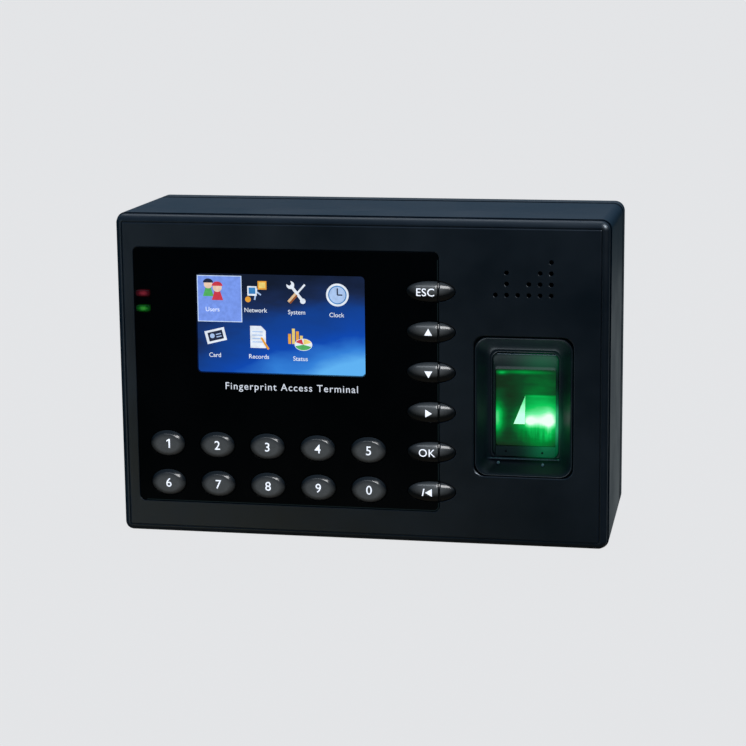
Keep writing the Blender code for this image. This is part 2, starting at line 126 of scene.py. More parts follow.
# Keys
FLANGE = 1.13  # the hidden flange is this many times wider than the key
FLANGE_THICK = 0.8
FOOT = 0.5  # radius of the foot, as a share of the key's
DIGITS = "1234567890"
FUNCTIONS = ["esc", "up", "down", "right", "ok", "left"]
DOME_HEIGHT = 1.29
LENS_DOME = [  # share of the radius, share of the dome's height, from the rim to the top
    (r / 24, (1 - (r / 24) ** 2) ** 0.85) for r in range(24, 1, -1)
]
DOME = [  # a steep shoulder round a nearly flat crown
    *((1.0, 0.0), (0.985, 0.06), (0.95, 0.18), (0.90, 0.33), (0.85, 0.46), (0.80, 0.58)),
    *((0.76, 0.67), (0.74, 0.71), (0.72, 0.742), (0.69, 0.78), (0.64, 0.825), (0.56, 0.875)),
    *((0.45, 0.925), (0.32, 0.965), (0.18, 0.99), (0.06, 1.0)),
]
SLIT = PANEL_HIGH.x + GAP / 2  # the function keys' fine groove lies over the panel's edge
SLIT_PROFILE = [(-0.56, 0.0), (-0.44, 0.05), (-0.34, 0.28), (-0.26, 0.65), (0.0, 0.7)]
SLIT_CLEAR = 0.7  # no other column of points stands this near the groove
LENS_COLUMNS, LENS_ROWS = 44, 32

# Sensor
BEZEL_RECT = node_rect("sensor_bezel")
BEZEL_BACK = node_box("sensor_bezel")[1].y
SENSOR_RECT = wider(BEZEL_RECT, -1.9)
FLOOR_RECT = (49.6, 74.1, -28.1, 11.4)
PLATEN_RECT = node_rect("sensor_prism")
PLATEN_FRONT = node_box("sensor_prism")[0].y

# Grille
GRILLE_START = (51.5, 34.0)
GRILLE_PITCH = 4.1
GRILLE_COLUMNS = [1, 3, 1, 2, 3, 4]
GRILLE_RADIUS = 0.85


# ---------------------------------------------------------------- shader nodes


class Value:
    """A node's output, which can be calculated with as numbers are."""

    def __init__(self, tree, socket):
        self.tree, self.socket = tree, socket

    def calculated(self, operation, other=None):
        node = add_node(self.tree, "ShaderNodeMath", operation=operation)
        feed(self, node, 0)
        if isinstance(other, Value):
            feed(other, node, 1)
        elif other is not None:
            fill(node, {1: other})
        return Value(self.tree, node.outputs[0])

    def __add__(self, other):
        return self.calculated("ADD", other)

    def __sub__(self, other):
        return self.calculated("SUBTRACT", other)

    def __mul__(self, other):
        return self.calculated("MULTIPLY", other)

    def __truediv__(self, other):
        return self.calculated("DIVIDE", other)

    def __pow__(self, other):
        return self.calculated("POWER", other)


def fill(node, values):
    """Sets inputs of a node, by name or number."""
    for key, value in values.items():
        node.inputs[key].default_value = value


def feed(source, node, *inputs):
    """Links a value to inputs of a node."""
    for key in inputs:
        source.tree.links.new(source.socket, node.inputs[key])


def add_node(tree, kind, values=None, **settings):
    node = tree.nodes.new(kind)
    for name, value in settings.items():
        setattr(node, name, value)
    fill(node, values or {})
    return node


def new_material(name):
    material = bpy.data.materials.new(name)
    material.use_nodes = True
    return material, material.node_tree, material.node_tree.nodes["Principled BSDF"]


def ramp(source, stops):
    """Colours along a value, through stops of (place, linear colour)."""
    node = add_node(source.tree, "ShaderNodeValToRGB")
    elements = node.color_ramp.elements
    while len(elements) < len(stops):
        elements.new(0.5)
    for element, (place, colour) in zip(elements, stops):
        element.position = place
        element.color = (*colour, 1.0)
    feed(source, node, 0)
    return Value(source.tree, node.outputs["Color"])


def coordinates(tree, scale=(1.0, 1.0, 1.0)):
    """Object coordinates, in metres times scale."""
    place = add_node(tree, "ShaderNodeTexCoord")
    mapping = add_node(tree, "ShaderNodeMapping", {"Scale": scale})
    feed(Value(tree, place.outputs["Object"]), mapping, "Vector")
    return Value(tree, mapping.outputs["Vector"])


def axis_values(tree):
    """Object coordinates X and Z, in millimetres."""
    parts = add_node(tree, "ShaderNodeSeparateXYZ")
    feed(coordinates(tree, (1 / MM, 1 / MM, 1 / MM)), parts, 0)
    return Value(tree, parts.outputs["X"]), Value(tree, parts.outputs["Z"])


def noise(place, scale, detail=4.0, roughness=0.55):
    values = {"Scale": scale, "Detail": detail, "Roughness": roughness}
    node = add_node(place.tree, "ShaderNodeTexNoise", values)
    feed(place, node, "Vector")
    return Value(place.tree, node.outputs["Fac"])


def between(source, low, high, from_low=0.0, from_high=1.0):
    """The source taken from one range to another, and kept inside it."""
    values = {"From Min": from_low, "From Max": from_high, "To Min": low, "To Max": high}
    node = add_node(source.tree, "ShaderNodeMapRange", values)
    feed(source, node, "Value")
    return Value(source.tree, node.outputs["Result"])


def spot(axes, x, z, wide, tall, power):
    """A soft spot of light: power at (x, z), falling off over wide and tall."""
    squared = ((axes[0] - x) / wide) ** 2.0 + ((axes[1] - z) / tall) ** 2.0
    return (squared * -1.0).calculated("EXPONENT") * power


def glow(axes, spots, level=None):
    """Soft spots of light, added up, on a level if there is one."""
    for row in spots:
        level = spot(axes, *row) if level is None else level + spot(axes, *row)
    return level


# ---------------------------------------------------------------- shapes


def arc(x, z, a, b, degrees):
    turns = [math.radians(turn) for turn in degrees]
    return [(x + a * math.cos(turn), z + b * math.sin(turn)) for turn in turns]


def ellipse(x, z, a, b, steps=64):
    return arc(x, z, a, b, [360 * i / steps for i in range(steps)])


def rectangle(x0, x1, z0, z1, radius, steps=8):
    """Points of a rounded rectangle, anticlockwise seen from the front."""
    radius = max(radius, 0.05)
    points = []
    for x, z, start in (
        (x1 - radius, z0 + radius, -90),
        (x1 - radius, z1 - radius, 0),
        (x0 + radius, z1 - radius, 90),
        (x0 + radius, z0 + radius, 180),
    ):
        turns = [start + 90 * i / steps for i in range(steps + 1)]
        points += arc(x, z, radius, radius, turns)
    return points


def join_loops(bm, loops):
    """Faces between each two neighbouring loops of points."""
    for one, two in zip(loops, loops[1:]):
        for i in range(len(one)):
            j = (i + 1) % len(one)
            bm.faces.new((one[i], one[j], two[j], two[i]))


def stack(rings, hollow=False):
    """A solid through rings of (y, points). A hollow one is a ring that closes on itself."""
    bm = bmesh.new()
    loops = [[bm.verts.new((x, y, z)) for x, z in points] for y, points in rings]
    if hollow:
        join_loops(bm, [*loops, loops[0]])
    else:
        join_loops(bm, loops)
        bm.faces.new(list(reversed(loops[0])))
        bm.faces.new(loops[-1])
    bmesh.ops.recalc_face_normals(bm, faces=bm.faces)
    return bm


def lathed(x, z, profile, steps=32):
    """A round solid along Y through a profile of (y, radius)."""
    return stack([(y, ellipse(x, z, radius, radius, steps)) for y, radius in profile])


def rod(x, z, radius, y0, y1, steps=32):
    return lathed(x, z, [(y0, radius), (y1, radius)], steps)


def slab(rect, y0, y1, radius, edge=0.0, steps=8):
    """A rounded slab whose front edge is softened by edge."""
    rings = [(y0, rectangle(*rect, radius, steps))]
    if edge:
        rings = []
        for angle in (math.radians(30 * i) for i in range(4)):
            inset = edge * (1 - math.sin(angle))
            points = rectangle(*wider(rect, -inset), radius - inset, steps)
            rings.append((y0 + edge * (1 - math.cos(angle)), points))
    rings.append((y1, rectangle(*rect, radius, steps)))
    return stack(rings)


def drafted(bm):
    """Draws a casing shape in towards the wall, the underside most, as the CAD casing is."""
    for vertex in bm.verts:
        share = (vertex.co.y + DEPTH) / DEPTH
        vertex.co.x *= 1 - SIDE_DRAFT / HALF_WIDTH * share
        rise = FLOOR_DRAFT if vertex.co.z < 0 else SIDE_DRAFT
        vertex.co.z *= 1 - rise / HALF_HEIGHT * share
    return bm


def casing(levels, radius=CORNER):
    """A casing solid through levels of (y, inset from the outside)."""
    outside = (-HALF_WIDTH, HALF_WIDTH, -HALF_HEIGHT, HALF_HEIGHT)
    rings = [
        (y, rectangle(*wider(outside, -inset), radius - inset, steps=10)) for y, inset in levels
    ]
    return drafted(stack(rings))


def quarter(y, inset, size, steps, rising):
    """Levels of a rounded edge. rising goes from the front face out to the side."""
    levels = []
    for i in range(steps + 1):
        angle = math.radians(90 * i / steps)
        slow, fast = size * (1 - math.cos(angle)), size * (1 - math.sin(angle))
        levels.append((y + slow, inset + fast) if rising else (y - fast, inset + slow))
    return levels


def hole(outline, mouth, back, flare):
    """A cutter for a hole with a softened mouth; outline(grow) gives its points."""
    return stack(
        [
            (mouth - 4.0, outline(flare + 0.05)),
            (mouth - 0.05, outline(flare + 0.05)),
            (mouth + flare * 0.35, outline(flare * 0.35)),
            (mouth + flare, outline(0.0)),
            (back, outline(0.0)),
        ]
    )


def oval_hole(x, z, a, b, mouth, back, flare=0.25, steps=64):
    return hole(lambda grow: ellipse(x, z, a + grow, b + grow, steps), mouth, back, flare)


def rectangle_hole(rect, radius, mouth, back, flare=0.25):
    return hole(lambda grow: rectangle(*wider(rect, grow), radius + grow), mouth, back, flare)


def moved(bm, x, z, y=0.0):
    bmesh.ops.translate(bm, vec=(x, y, z), verts=bm.verts)
    return bm


def turned(bm, degrees, x=0.0, z=0.0):
    """Turns a shape in the plane of the front, about (x, z)."""
    spin = Matrix.Rotation(math.radians(degrees), 4, "Y")
    about = Matrix.Translation((x, 0, z)) @ spin @ Matrix.Translation((-x, 0, -z))
    bmesh.ops.transform(bm, matrix=about, verts=bm.verts)
    return bm


def upright(bm, x, y, z=0.0):
    """Turns a shape from along Y to along Z, or from lying flat to facing the front."""
    turn = Matrix.Rotation(math.pi / 2, 4, "X")
    bmesh.ops.transform(bm, matrix=Matrix.Translation((x, y, z)) @ turn, verts=bm.verts)
    return bm


def merged(shapes):
    bm = bmesh.new()
    for shape in shapes:
        part = bpy.data.meshes.new("shape")
        shape.to_mesh(part)
        shape.free()
        bm.from_mesh(part)
        bpy.data.meshes.remove(part)
    return bm


def settled(holder):
    """The mesh that an object's modifiers or text give."""
    graph = bpy.context.evaluated_depsgraph_get()
    return bpy.data.meshes.new_from_object(holder.evaluated_get(graph))


def settle(piece):
    """Makes the modifiers' result the piece's own mesh."""
    mesh = settled(piece)
    piece.modifiers.clear()
    piece.data = mesh


def shaded(piece, smooth):
    """Smooth shading in which the large flat faces stay flat."""
    piece.data.shade_smooth()
    piece.data.set_sharp_from_angle(angle=math.radians(smooth))
    modifier = piece.modifiers.new("normals", "WEIGHTED_NORMAL")
    modifier.keep_sharp = True
    modifier.weight = 100
    settle(piece)


def shown(holder):
    bpy.context.scene.collection.objects.link(holder)
    return holder


def made(name, bm, material, smooth=SMOOTH):
    """Turns a shape into an object in metres."""
    bmesh.ops.scale(bm, vec=(MM, MM, MM), verts=bm.verts)
    mesh = bpy.data.meshes.new(name)
    bm.to_mesh(mesh)
    bm.free()
    piece = shown(bpy.data.objects.new(name, mesh))
    if material:
        mesh.materials.append(material)
        shaded(piece, smooth)
    return piece


def carved(piece, cutters):
    """Cuts each shape out of the piece for good."""
    tools = []
    for shape in cutters:
        tool = made("cutter", shape, None)
        tools.append(tool)
        modifier = piece.modifiers.new("cut", "BOOLEAN")
        modifier.operation = "DIFFERENCE"
        modifier.solver = "EXACT"
        modifier.object = tool
    settle(piece)
    for tool in tools:
        bpy.data.objects.remove(tool, do_unlink=True)
    shaded(piece, SMOOTH)
    return piece


def placed(piece, slot, *nodes, body="terminal"):
    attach(piece, body)
    if nodes:
        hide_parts(*nodes)


def letters(text, height, x, z, spacing=1.0, weight=0.0):
    """A flat shape of the text, centred on (x, z) in the plane y = 0, facing the front."""
    curve = bpy.data.curves.new("text", "FONT")
    curve.body = text
    curve.size = height / 0.72  # a capital's height is this share of the size
    curve.space_character = spacing
    curve.align_x = "CENTER"
    curve.resolution_u = 5
    curve.offset = weight
    holder = shown(bpy.data.objects.new("text", curve))
    mesh = settled(holder)
    bpy.data.objects.remove(holder, do_unlink=True)
    bpy.data.curves.remove(curve)
    bm = bmesh.new()
    bm.from_mesh(mesh)
    bpy.data.meshes.remove(mesh)
    return upright(bm, x, 0, z - height / 2)


def flat(points):
    """A flat face through (x, z) points, facing the front."""
    bm = bmesh.new()
    face = bm.faces.new([bm.verts.new((x, 0.0, z)) for x, z in points])
    face.normal_update()
    if face.normal.y > 0:
        face.normal_flip()
    return bm


def bar(x0, x1, z0, z1):
    return flat([(x0, z0), (x1, z0), (x1, z1), (x0, z1)])


def disc(x, z, radius, steps=28):
    return flat(ellipse(x, z, radius, radius, steps))


def diced(bm):
    """Cuts a flat shape along a grid, so that it can follow a curved surface."""
    step = 0.5
    for axis in (0, 2):
        low = min(v.co[axis] for v in bm.verts)
        high = max(v.co[axis] for v in bm.verts)
        normal = Vector((0, 0, 0))
        normal[axis] = 1.0
        place = low + step
        while place < high:
            geometry = bm.verts[:] + bm.edges[:] + bm.faces[:]
            bmesh.ops.bisect_plane(bm, geom=geometry, plane_co=normal * place, plane_no=normal)
            place += step


def raised(bm, thickness):
    """Gives a flat shape a thickness towards the front, as ink or paint has."""
    bmesh.ops.recalc_face_normals(bm, faces=bm.faces)
    grown = bmesh.ops.extrude_face_region(bm, geom=bm.faces[:], use_keep_orig=True)
    tops = [g for g in grown["geom"] if isinstance(g, bmesh.types.BMVert)]
    bmesh.ops.translate(bm, vec=(0, -thickness, 0), verts=tops)
    bmesh.ops.recalc_face_normals(bm, faces=bm.faces)
    return bm


# ---------------------------------------------------------------- finishes


def linear(*colour):
    """Turns a display colour, 0 to 255, into the linear colour that shaders take."""
    shares = [c / 255 for c in colour]
    return tuple(s / 12.92 if s <= 0.04045 else ((s + 0.055) / 1.055) ** 2.4 for s in shares)


def textured(
    name,
    colour,
    roughness,
    grain=900.0,
    depth=0.00002,
    variation=0.18,
    metallic=0.0,
    specular=0.5,
    coat=0.0,
    spread=0.06,
):
    """Moulded or painted surface: a fine grain, and slow changes of colour and gloss."""
    material, tree, shader = new_material(name)
    place = coordinates(tree)
    slow = noise(place, 38.0, 3.0)
    darker = tuple(c * (1 - variation) for c in colour)
    lighter = tuple(min(1.0, c * (1 + variation)) for c in colour)
    feed(ramp(slow, [(0.3, darker), (0.7, lighter)]), shader, "Base Color")
    gloss = between(slow, roughness - spread, roughness + spread, 0.3, 0.7)
    feed(gloss, shader, "Roughness")
    fill(shader, {"Metallic": metallic, "Specular IOR Level": specular})
    fill(shader, {"Coat Weight": coat, "Coat Roughness": 0.06})
    if depth:
        bump = add_node(tree, "ShaderNodeBump", {"Strength": 0.35, "Distance": depth})
        feed(noise(place, grain, 5.0, 0.65), bump, "Height")
        feed(Value(tree, bump.outputs["Normal"]), shader, "Normal")
    return material


def spilled(material, strength):
    """Adds the green light that the sensor throws on what is round it."""
    tree = material.node_tree
    shader = tree.nodes["Principled BSDF"]
    spots = [
        (73.6, -14.0, 2.6, 7.0, 1.2),
        (69.0, -24.0, 6.0, 6.0, 0.55),
        (68.0, 8.5, 8.0, 4.0, 0.34),
    ]
    stops = [(0.0, (0.0, 0.0, 0.0)), (0.5, (0.0, 0.09, 0.03)), (1.0, (0.02, 0.34, 0.13))]
    feed(ramp(glow(axis_values(tree), spots), stops), shader, "Emission Color")
    fill(shader, {"Emission Strength": strength})
    return material


def lit(shader, shade, strength):
    """Gives a shader one colour for its surface and its own light."""
    feed(shade, shader, "Base Color", "Emission Color")
    fill(shader, {"Emission Strength": strength})


def glowing(name, colour, strength):
    """A lit plastic: plain colour with light of its own, a little uneven."""
    material, tree, shader = new_material(name)
    dim = tuple(c * 0.8 for c in colour)
    uneven = noise(coordinates(tree), 600.0, 2.0)
    lit(shader, ramp(uneven, [(0.3, dim), (0.7, colour)]), strength)
    fill(shader, {"Roughness": 0.3})
    return material


def backlit(shader, level, stops, base, gloss):
    """Dark glass whose own light goes through stops of (place, display colour)."""
    feed(ramp(level, [(place, linear(*rgb)) for place, *rgb in stops]), shader, "Emission Color")
    feed(gloss, shader, "Roughness")
    fill(shader, {"Emission Strength": 1.0, "Base Color": (*base, 1.0)})


def key_material():
    """Smoky clear plastic, with painted shade and light in its colour: dark at the rim, a painted
    grey glow in the middle and lower half.
    """
    material, tree, shader = new_material("key_smoke")
    dome = add_node(tree, "ShaderNodeAttribute", attribute_name="dome")
    # Painted shade at the rim and a painted grey glow inside, over the plastic's smoky tone.
    smoke_and_painted_light = [(0.0, linear(9, 10, 12)), (1.0, linear(92, 92, 91))]
    feed(ramp(Value(tree, dome.outputs["Fac"]), smoke_and_painted_light), shader, "Base Color")
    feed(between(noise(coordinates(tree), 700.0), 0.22, 0.32), shader, "Roughness")
    fill(shader, {"Specular IOR Level": 0.2, "Coat Weight": 0.7, "Coat Roughness": 0.11})
    return material


def screen_material():
    """The lit picture: night blue above, bright blue below and to the right, a soft swirl."""
    material, tree, shader = new_material("screen_picture")
    axes = axis_values(tree)
    x0, x1, z0, z1 = GLASS_RECT
    across = between(axes[0], 0.0, 1.0, x0, x1)
    down = between(axes[1], 1.0, 0.0, z0, z1)
    swirl = noise(coordinates(tree, (1.0, 1.0, 2.2)), 60.0, 3.0, 0.5)
    level = down**1.6 * 0.50 + across * down * 0.50 + across * 0.04 + (swirl - 0.5) * 0.30
    spots = [
        (x0 + 30, z0 + 6, 6.0, 6.0, 0.12),
        (x0 + 58, z0 + 3, 16.0, 9.0, 0.16),
        (x0 + 14, z1 - 1, 22.0, 4.0, -0.12),
        (x0 + 2, z0 + 5, 14.0, 9.0, -0.16),
    ]
    stops = [
        (0.00, 20, 28, 46),
        (0.12, 26, 40, 74),
        (0.30, 20, 62, 138),
        (0.56, 16, 72, 174),
        (0.80, 52, 128, 216),
        (1.00, 96, 178, 242),
    ]
    gloss = between(swirl, 0.05, 0.12)
    backlit(shader, glow(axes, spots, level), stops, (0.004, 0.006, 0.012), gloss)
    fill(shader, {"Specular IOR Level": 0.3})
    return material


def platen_material():
    """Sensor glass lit from inside: dark green, with glows round the lamp's image."""
    material, tree, shader = new_material("platen_glow")
    x, z = axes = axis_values(tree)
    streak = noise(coordinates(tree, (0.8, 1.0, 2.2)), 110.0, 3.0)
    rays = noise(coordinates(tree, (3.0, 1.0, 0.35)), 260.0, 2.0)
    veil = between(x, 0.0, 1.0, 61.3, 61.9) * between(z, 0.0, 1.0, -4.2, -5.1)
    veil = veil * between(z, 0.0, 1.0, -17.2, -14.6) * between(z, 0.22, 0.30, -5.0, -12.0)
    spots = [
        (67.5, -4.75, 6.5, 0.4, 0.14),
        (67.5, -13.0, 8.0, 8.0, 0.40),
        (65.6, -14.2, 6.0, 2.6, 0.22),
        (63.4, -15.0, 1.8, 2.6, 0.26),
        (71.0, -14.0, 2.4, 4.2, 0.34),
        (68.5, -19.5, 6.5, 5.0, 0.30),
        (59.5, -15.5, 3.4, 4.5, 0.26),
        (50.8, -14.0, 2.8, 6.0, 0.55),
        (52.0, -11.0, 3.0, 8.0, 0.18),
        (60.5, 4.1, 10.5, 0.7, 0.3),
        (52.8, 3.7, 1.8, 0.8, 0.36),
        (66.5, 0.0, 8.0, 5.0, 0.18),
    ]
    level = glow(axes, spots, veil) + (streak - 0.5) * 0.30
    level = level + (rays - 0.45) * spot(axes, 67.0, -19.0, 6.5, 3.0, 0.55)
    stops = [
        (0.00, 20, 42, 22),
        (0.12, 14, 66, 32),
        (0.34, 2, 124, 48),
        (0.58, 14, 196, 88),
        (0.80, 116, 244, 166),
        (1.00, 238, 255, 246),
    ]
    backlit(shader, level, stops, (0.004, 0.03, 0.012), between(streak, 0.06, 0.14))
    return material


def lamp_image_material():
    """The lamp seen in the glass: bright at its foot and fading upwards."""
    material, tree, shader = new_material("lamp_image")
    cloud = noise(coordinates(tree), 240.0, 2.0)
    level = between(axis_values(tree)[1], 0.0, 1.0, -7.0, -15.0) + (cloud - 0.5) * 0.35
    dark, bright = linear(110, 226, 152), linear(200, 255, 224)
    lit(shader, ramp(level, [(0.0, dark), (0.6, bright), (1.0, bright)]), 0.92)
    feed(between(cloud, 0.08, 0.14), shader, "Roughness")
    return material


def lamp_material(colour, dark, bright):
    """A tinted window, lit from behind in its middle."""
    material, tree, shader = new_material(f"lamp_{colour}")
    middle = middle_of(f"led_{colour}_lens")
    patch = noise(coordinates(tree), 2600.0, 2.0)
    level = spot(axis_values(tree), middle.x + 0.2, middle.z, 2.1, 1.1, 0.75)
    level = level + (patch - 0.5) * 0.5
    stops = [(0.0, (0.001, 0.001, 0.001)), (0.35, linear(*dark)), (0.9, linear(*bright))]
    lit(shader, ramp(level, stops), 0.4)
    feed(between(patch, 0.3, 0.45), shader, "Roughness")
    return material


SHELL = textured("shell_satin", linear(13, 29, 42), 0.38, specular=0.42)
SHELL_BACK = textured("shell_back_satin", linear(44, 50, 56), 0.5, specular=0.45)
PANEL = textured(
    "panel_gloss", linear(3, 3, 5), 0.24, grain=120.0, depth=0.0, specular=0.22, spread=0.04
)
# Painted highlight: the plate's edge line, given light of its own.
PANEL_EDGE_HIGHLIGHT = glowing("panel_edge_highlight", linear(24, 33, 34), 0.55)
BEZEL = textured("bezel_satin", linear(17, 25, 30), 0.4, specular=0.3, depth=0.00001)
LEDGE = textured("frame_grey", linear(23, 35, 34), 0.42, specular=0.3, depth=0.0)
spilled(BEZEL, 0.2)
spilled(LEDGE, 1.0)
STEEL = textured(
    "zinc_steel",
    linear(150, 154, 158),
    0.36,
    grain=500.0,
    metallic=1.0,
    variation=0.05,
    spread=0.02,
)
SCREW_STEEL = textured("screw_steel", linear(120, 122, 126), 0.3, grain=700.0, metallic=1.0)
# White print given light of its own: a painted glow on the key legends and the caption.
PRINT_WITH_PAINTED_GLOW = glowing("ink_white_painted_glow", linear(226, 230, 238), 0.9)
# Near-black for the two marks on the sensor ledge: painted shade standing in for small pits.
PIT_SHADE = textured("pit_painted_shade", linear(4, 5, 7), 0.6, depth=0.0)
# Pale grey for the sensor collar's lips, far lighter than the collar: a painted highlight besides
# the light they catch.
LIP_HIGHLIGHT = textured("lip_painted_highlight", linear(84, 96, 106), 0.3, depth=0.0)
STUD = textured("stud_metal", linear(176, 186, 190), 0.3, depth=0.0)
KEY = key_material()
SCREEN = screen_material()
PLATEN = platen_material()
LAMP_IMAGE = lamp_image_material()
LAMPS = {
    "red": lamp_material("red", (84, 12, 24), (176, 52, 66)),
    "green": lamp_material("green", (10, 96, 18), (74, 190, 66)),
}
ICON_COLOURS = {
    "white": (236, 240, 246),
    "pale": (176, 200, 236),
    "red": (206, 60, 74),
    "green": (86, 176, 96),
    "skin": (240, 206, 180),
    "dark": (38, 44, 66),
    "orange": (240, 166, 60),
    "yellow": (244, 214, 120),
    "blue": (60, 130, 190),
    "wood": (226, 190, 148),
    "brown": (150, 86, 46),
    "select": (124, 154, 234),
    "frame": (206, 224, 250),
}
ICON_MATERIALS = {
    name: glowing(f"icon_{name}", linear(*colour), 0.95) for name, colour in ICON_COLOURS.items()
}


# ---------------------------------------------------------------- casing


def key_place(name):
    """Centre and radii of a key, from its CAD solid, whose flange is FLANGE times wider."""
    low, high = node_box(name)
    middle = (low + high) / 2
    return middle.x, middle.z, (high.x - low.x) / 2 / FLANGE, (high.z - low.z) / 2 / FLANGE


KEYS = [f"key_{name}" for name in [*DIGITS, *FUNCTIONS]]
KEY_PLACES = {name: key_place(name) for name in KEYS}


def key_holes(mouth, back, flare=0.25):
    return [
        oval_hole(x, z, a + GAP, b + GAP, mouth, back, flare) for x, z, a, b in KEY_PLACES.values()
    ]


def grille_places():
    x, z = GRILLE_START
    return [
        (x + GRILLE_PITCH * column, z + GRILLE_PITCH * row)
        for column, count in enumerate(GRILLE_COLUMNS)
        for row in range(count)
    ]


def lens_rect(colour):
    """The visible end of a lamp window."""
    x0, x1, z0, z1 = node_rect(f"led_{colour}_lens")
    return x0 + 0.8, x1 - 0.8, z0 + 0.9, z1 - 0.9


def front_cover():
    lip, through = WALL + GAP, FACE + 8
    levels = [(FACE, 3.85), (FACE + 0.04, 3.68), (FACE + 0.22, 3.46), (FACE + 0.56, 3.4)]
    levels += [(FACE + 0.62, 3.3), (FACE + 0.62, 3.14), (FACE + 0.5, 3.04)]
    levels += quarter(FACE + STEP, SEAM_STEP, ROLL - 0.5, 14, True)[1:]
    levels += [(COVER_BACK - 0.2, SEAM_STEP), (COVER_BACK, SEAM_STEP + 0.2), (COVER_BACK, lip)]
    levels += [(LIP_BACK, lip), (LIP_BACK, lip + 1.3), (INSIDE, lip + 1.3)]
    cutters = [rectangle_hole(wider(PANEL_RECT, GAP), 2.3, FACE, FACE + 1.2, 0.2)]
    cutters += key_holes(FACE, through)
    for colour in LAMPS:
        cutters.append(rectangle_hole(wider(lens_rect(colour), GAP), 0.5, FACE, through))
    cutters.append(rectangle_hole(wider(GLASS_RECT, 0.6), 1.4, FACE, through))
    cutters.append(rectangle_hole(SENSOR_RECT, 4.0, FACE, through, 0.5))
    for x, z in grille_places():
        cutters.append(oval_hole(x, z, GRILLE_RADIUS, GRILLE_RADIUS, FACE, through, 0.12, 20))
    piece = carved(made("front_cover_shell", casing(levels), SHELL), cutters)
    placed(piece, "shell_black", "front_cover")


def main_housing():
    front, back = HOUSING_FRONT, HOUSING_BACK
    levels = [(front, WALL), (front, 0.1), (front + 0.1, 0.0), (back - 2.9, 0.0)]
    levels += [(back - 2.75, 0.06), (back - 2.5, 0.32), (back, 0.38), (back, WALL)]
    cutters = [casing([(front - 3, WALL), (back + 3, WALL)], 1.5)]
    for node in ("network_jack", "usb_socket", "power_jack"):
        low, high = node_box(node)
        mouth = (low.x - GAP, high.x + GAP, -66, -54)
        cutters.append(slab(mouth, low.y - GAP, high.y + GAP, 0.2, steps=2))
    piece = carved(made("housing_shell", casing(levels), SHELL), cutters)
    placed(piece, "shell_black", "main_housing")


def lock_hole(z0, z1):
    """A cutter for the locking screw's hole."""
    return upright(rod(0, 0, 1.8, z0, z1), 0, LOCK_Y)


def back_cover():
    front, back = HOUSING_BACK + GAP, node_box("back_cover")[1].y
    levels = [(front, WALL), (front, 0.1), (front + 0.1, 0.0), *quarter(back, 0.0, 0.9, 5, False)]
    cutters = [casing([(front - 3, WALL), (-4.3, WALL)], 1.5)]
    cutters.append(slab(wider(PLATE_RECT, GAP), -2.1, 4, 2.0))
    cutters.append(slab((-6.4, 6.4, -55.8, -45), -2.1, 5, 0.3, steps=2))
    cutters.append(slab(CABLE_WINDOW, *THROUGH_BACK, 2.0))
    for x in (-HOOK_X, HOOK_X):
        cutters.append(slab((x - 5.6, x + 5.6, 28, 36), *THROUGH_BACK, 0.4))
    for node in CASE_SCREWS:
        middle = middle_of(node)
        cutters.append(lathed(middle.x, middle.z, [(-2.5, 3.3), (-0.6, 3.3), (3.0, 6.9)]))
    middle = middle_of("tamper_plunger")
    cutters.append(rod(middle.x, middle.z, 2.2, *THROUGH_BACK))
    cutters.append(lock_hole(-66, -54.5))
    piece = carved(made("back_shell", casing(levels), SHELL_BACK), cutters)
    placed(piece, "shell_black", "back_cover")


def wall_plate():
    """The steel sheet, and the tongue, tab and hooks that are bent out of it."""
    cutters = [slab(CABLE_WINDOW, *THROUGH_BACK, 2.0)]
    cutters += [rod(x, z, 2.3, *THROUGH_BACK, 40) for x in (-60, 60) for z in (-34, 34)]
    sheet = made("wall_plate_sheet", slab(PLATE_RECT, -PLATE, 0, 1.7, 0.15), STEEL)
    placed(carved(sheet, cutters), "steel", "wall_plate")
    near = -PLATE - 0.05
    parts = [
        ("tongue", (-6, 6, -55.4, -46.05), -PLATE, 0, 0.4),
        ("tab", (-6, 6, -55.4, -53.9), -7.5, near, 0.3),
    ]
    for side, x in (("left", -HOOK_X), ("right", HOOK_X)):
        parts.append((f"hook_{side}", (x - 5, x + 5, 30, 31.5), -6.8, near, 0.3))
        parts.append((f"catch_{side}", (x - 5, x + 5, 31.55, 34.5), -6.8, -5.3, 0.3))
    for name, rect, y0, y1, radius in parts:
        piece = made(f"wall_plate_{name}", slab(rect, y0, y1, radius, 0.1), STEEL)
        if name == "tab":
            piece = carved(piece, [lock_hole(-60, -50)])
        placed(piece, "steel")


def screw(node, along_z=False):
    """A cross-head machine screw with a rounded head, where the CAD screw is."""
    low, high = node_box(node)
    middle = (low + high) / 2
    if along_z:
        head, tip, out = low.z + 1.6, high.z, -1
    else:
        head, tip, out = high.y - 1.6, low.y, 1
    profile = [(1.6, 1.6), (1.5, 2.1), (1.25, 2.5), (0.85, 2.75), (0.0, 2.8), (0.0, 1.5)]
    profile = [(head + rise * out, radius) for rise, radius in profile]
    shapes = [lathed(0, 0, [*profile, (tip, 1.5)], 40)]
    for degrees in (20, 110):
        ends = sorted((head + 0.6 * out, head + 3 * out))
        shapes.append(turned(slab((-1.55, 1.55, -0.28, 0.28), *ends, 0.1, steps=2), degrees))
    if along_z:
        shapes = [upright(shape, middle.x, middle.y) for shape in shapes]
    else:
        shapes = [moved(shape, middle.x, middle.z) for shape in shapes]
    piece = carved(made(f"{node}_detailed", shapes[0], SCREW_STEEL), shapes[1:])
    placed(piece, "steel", node)


# ---------------------------------------------------------------- panel and keys


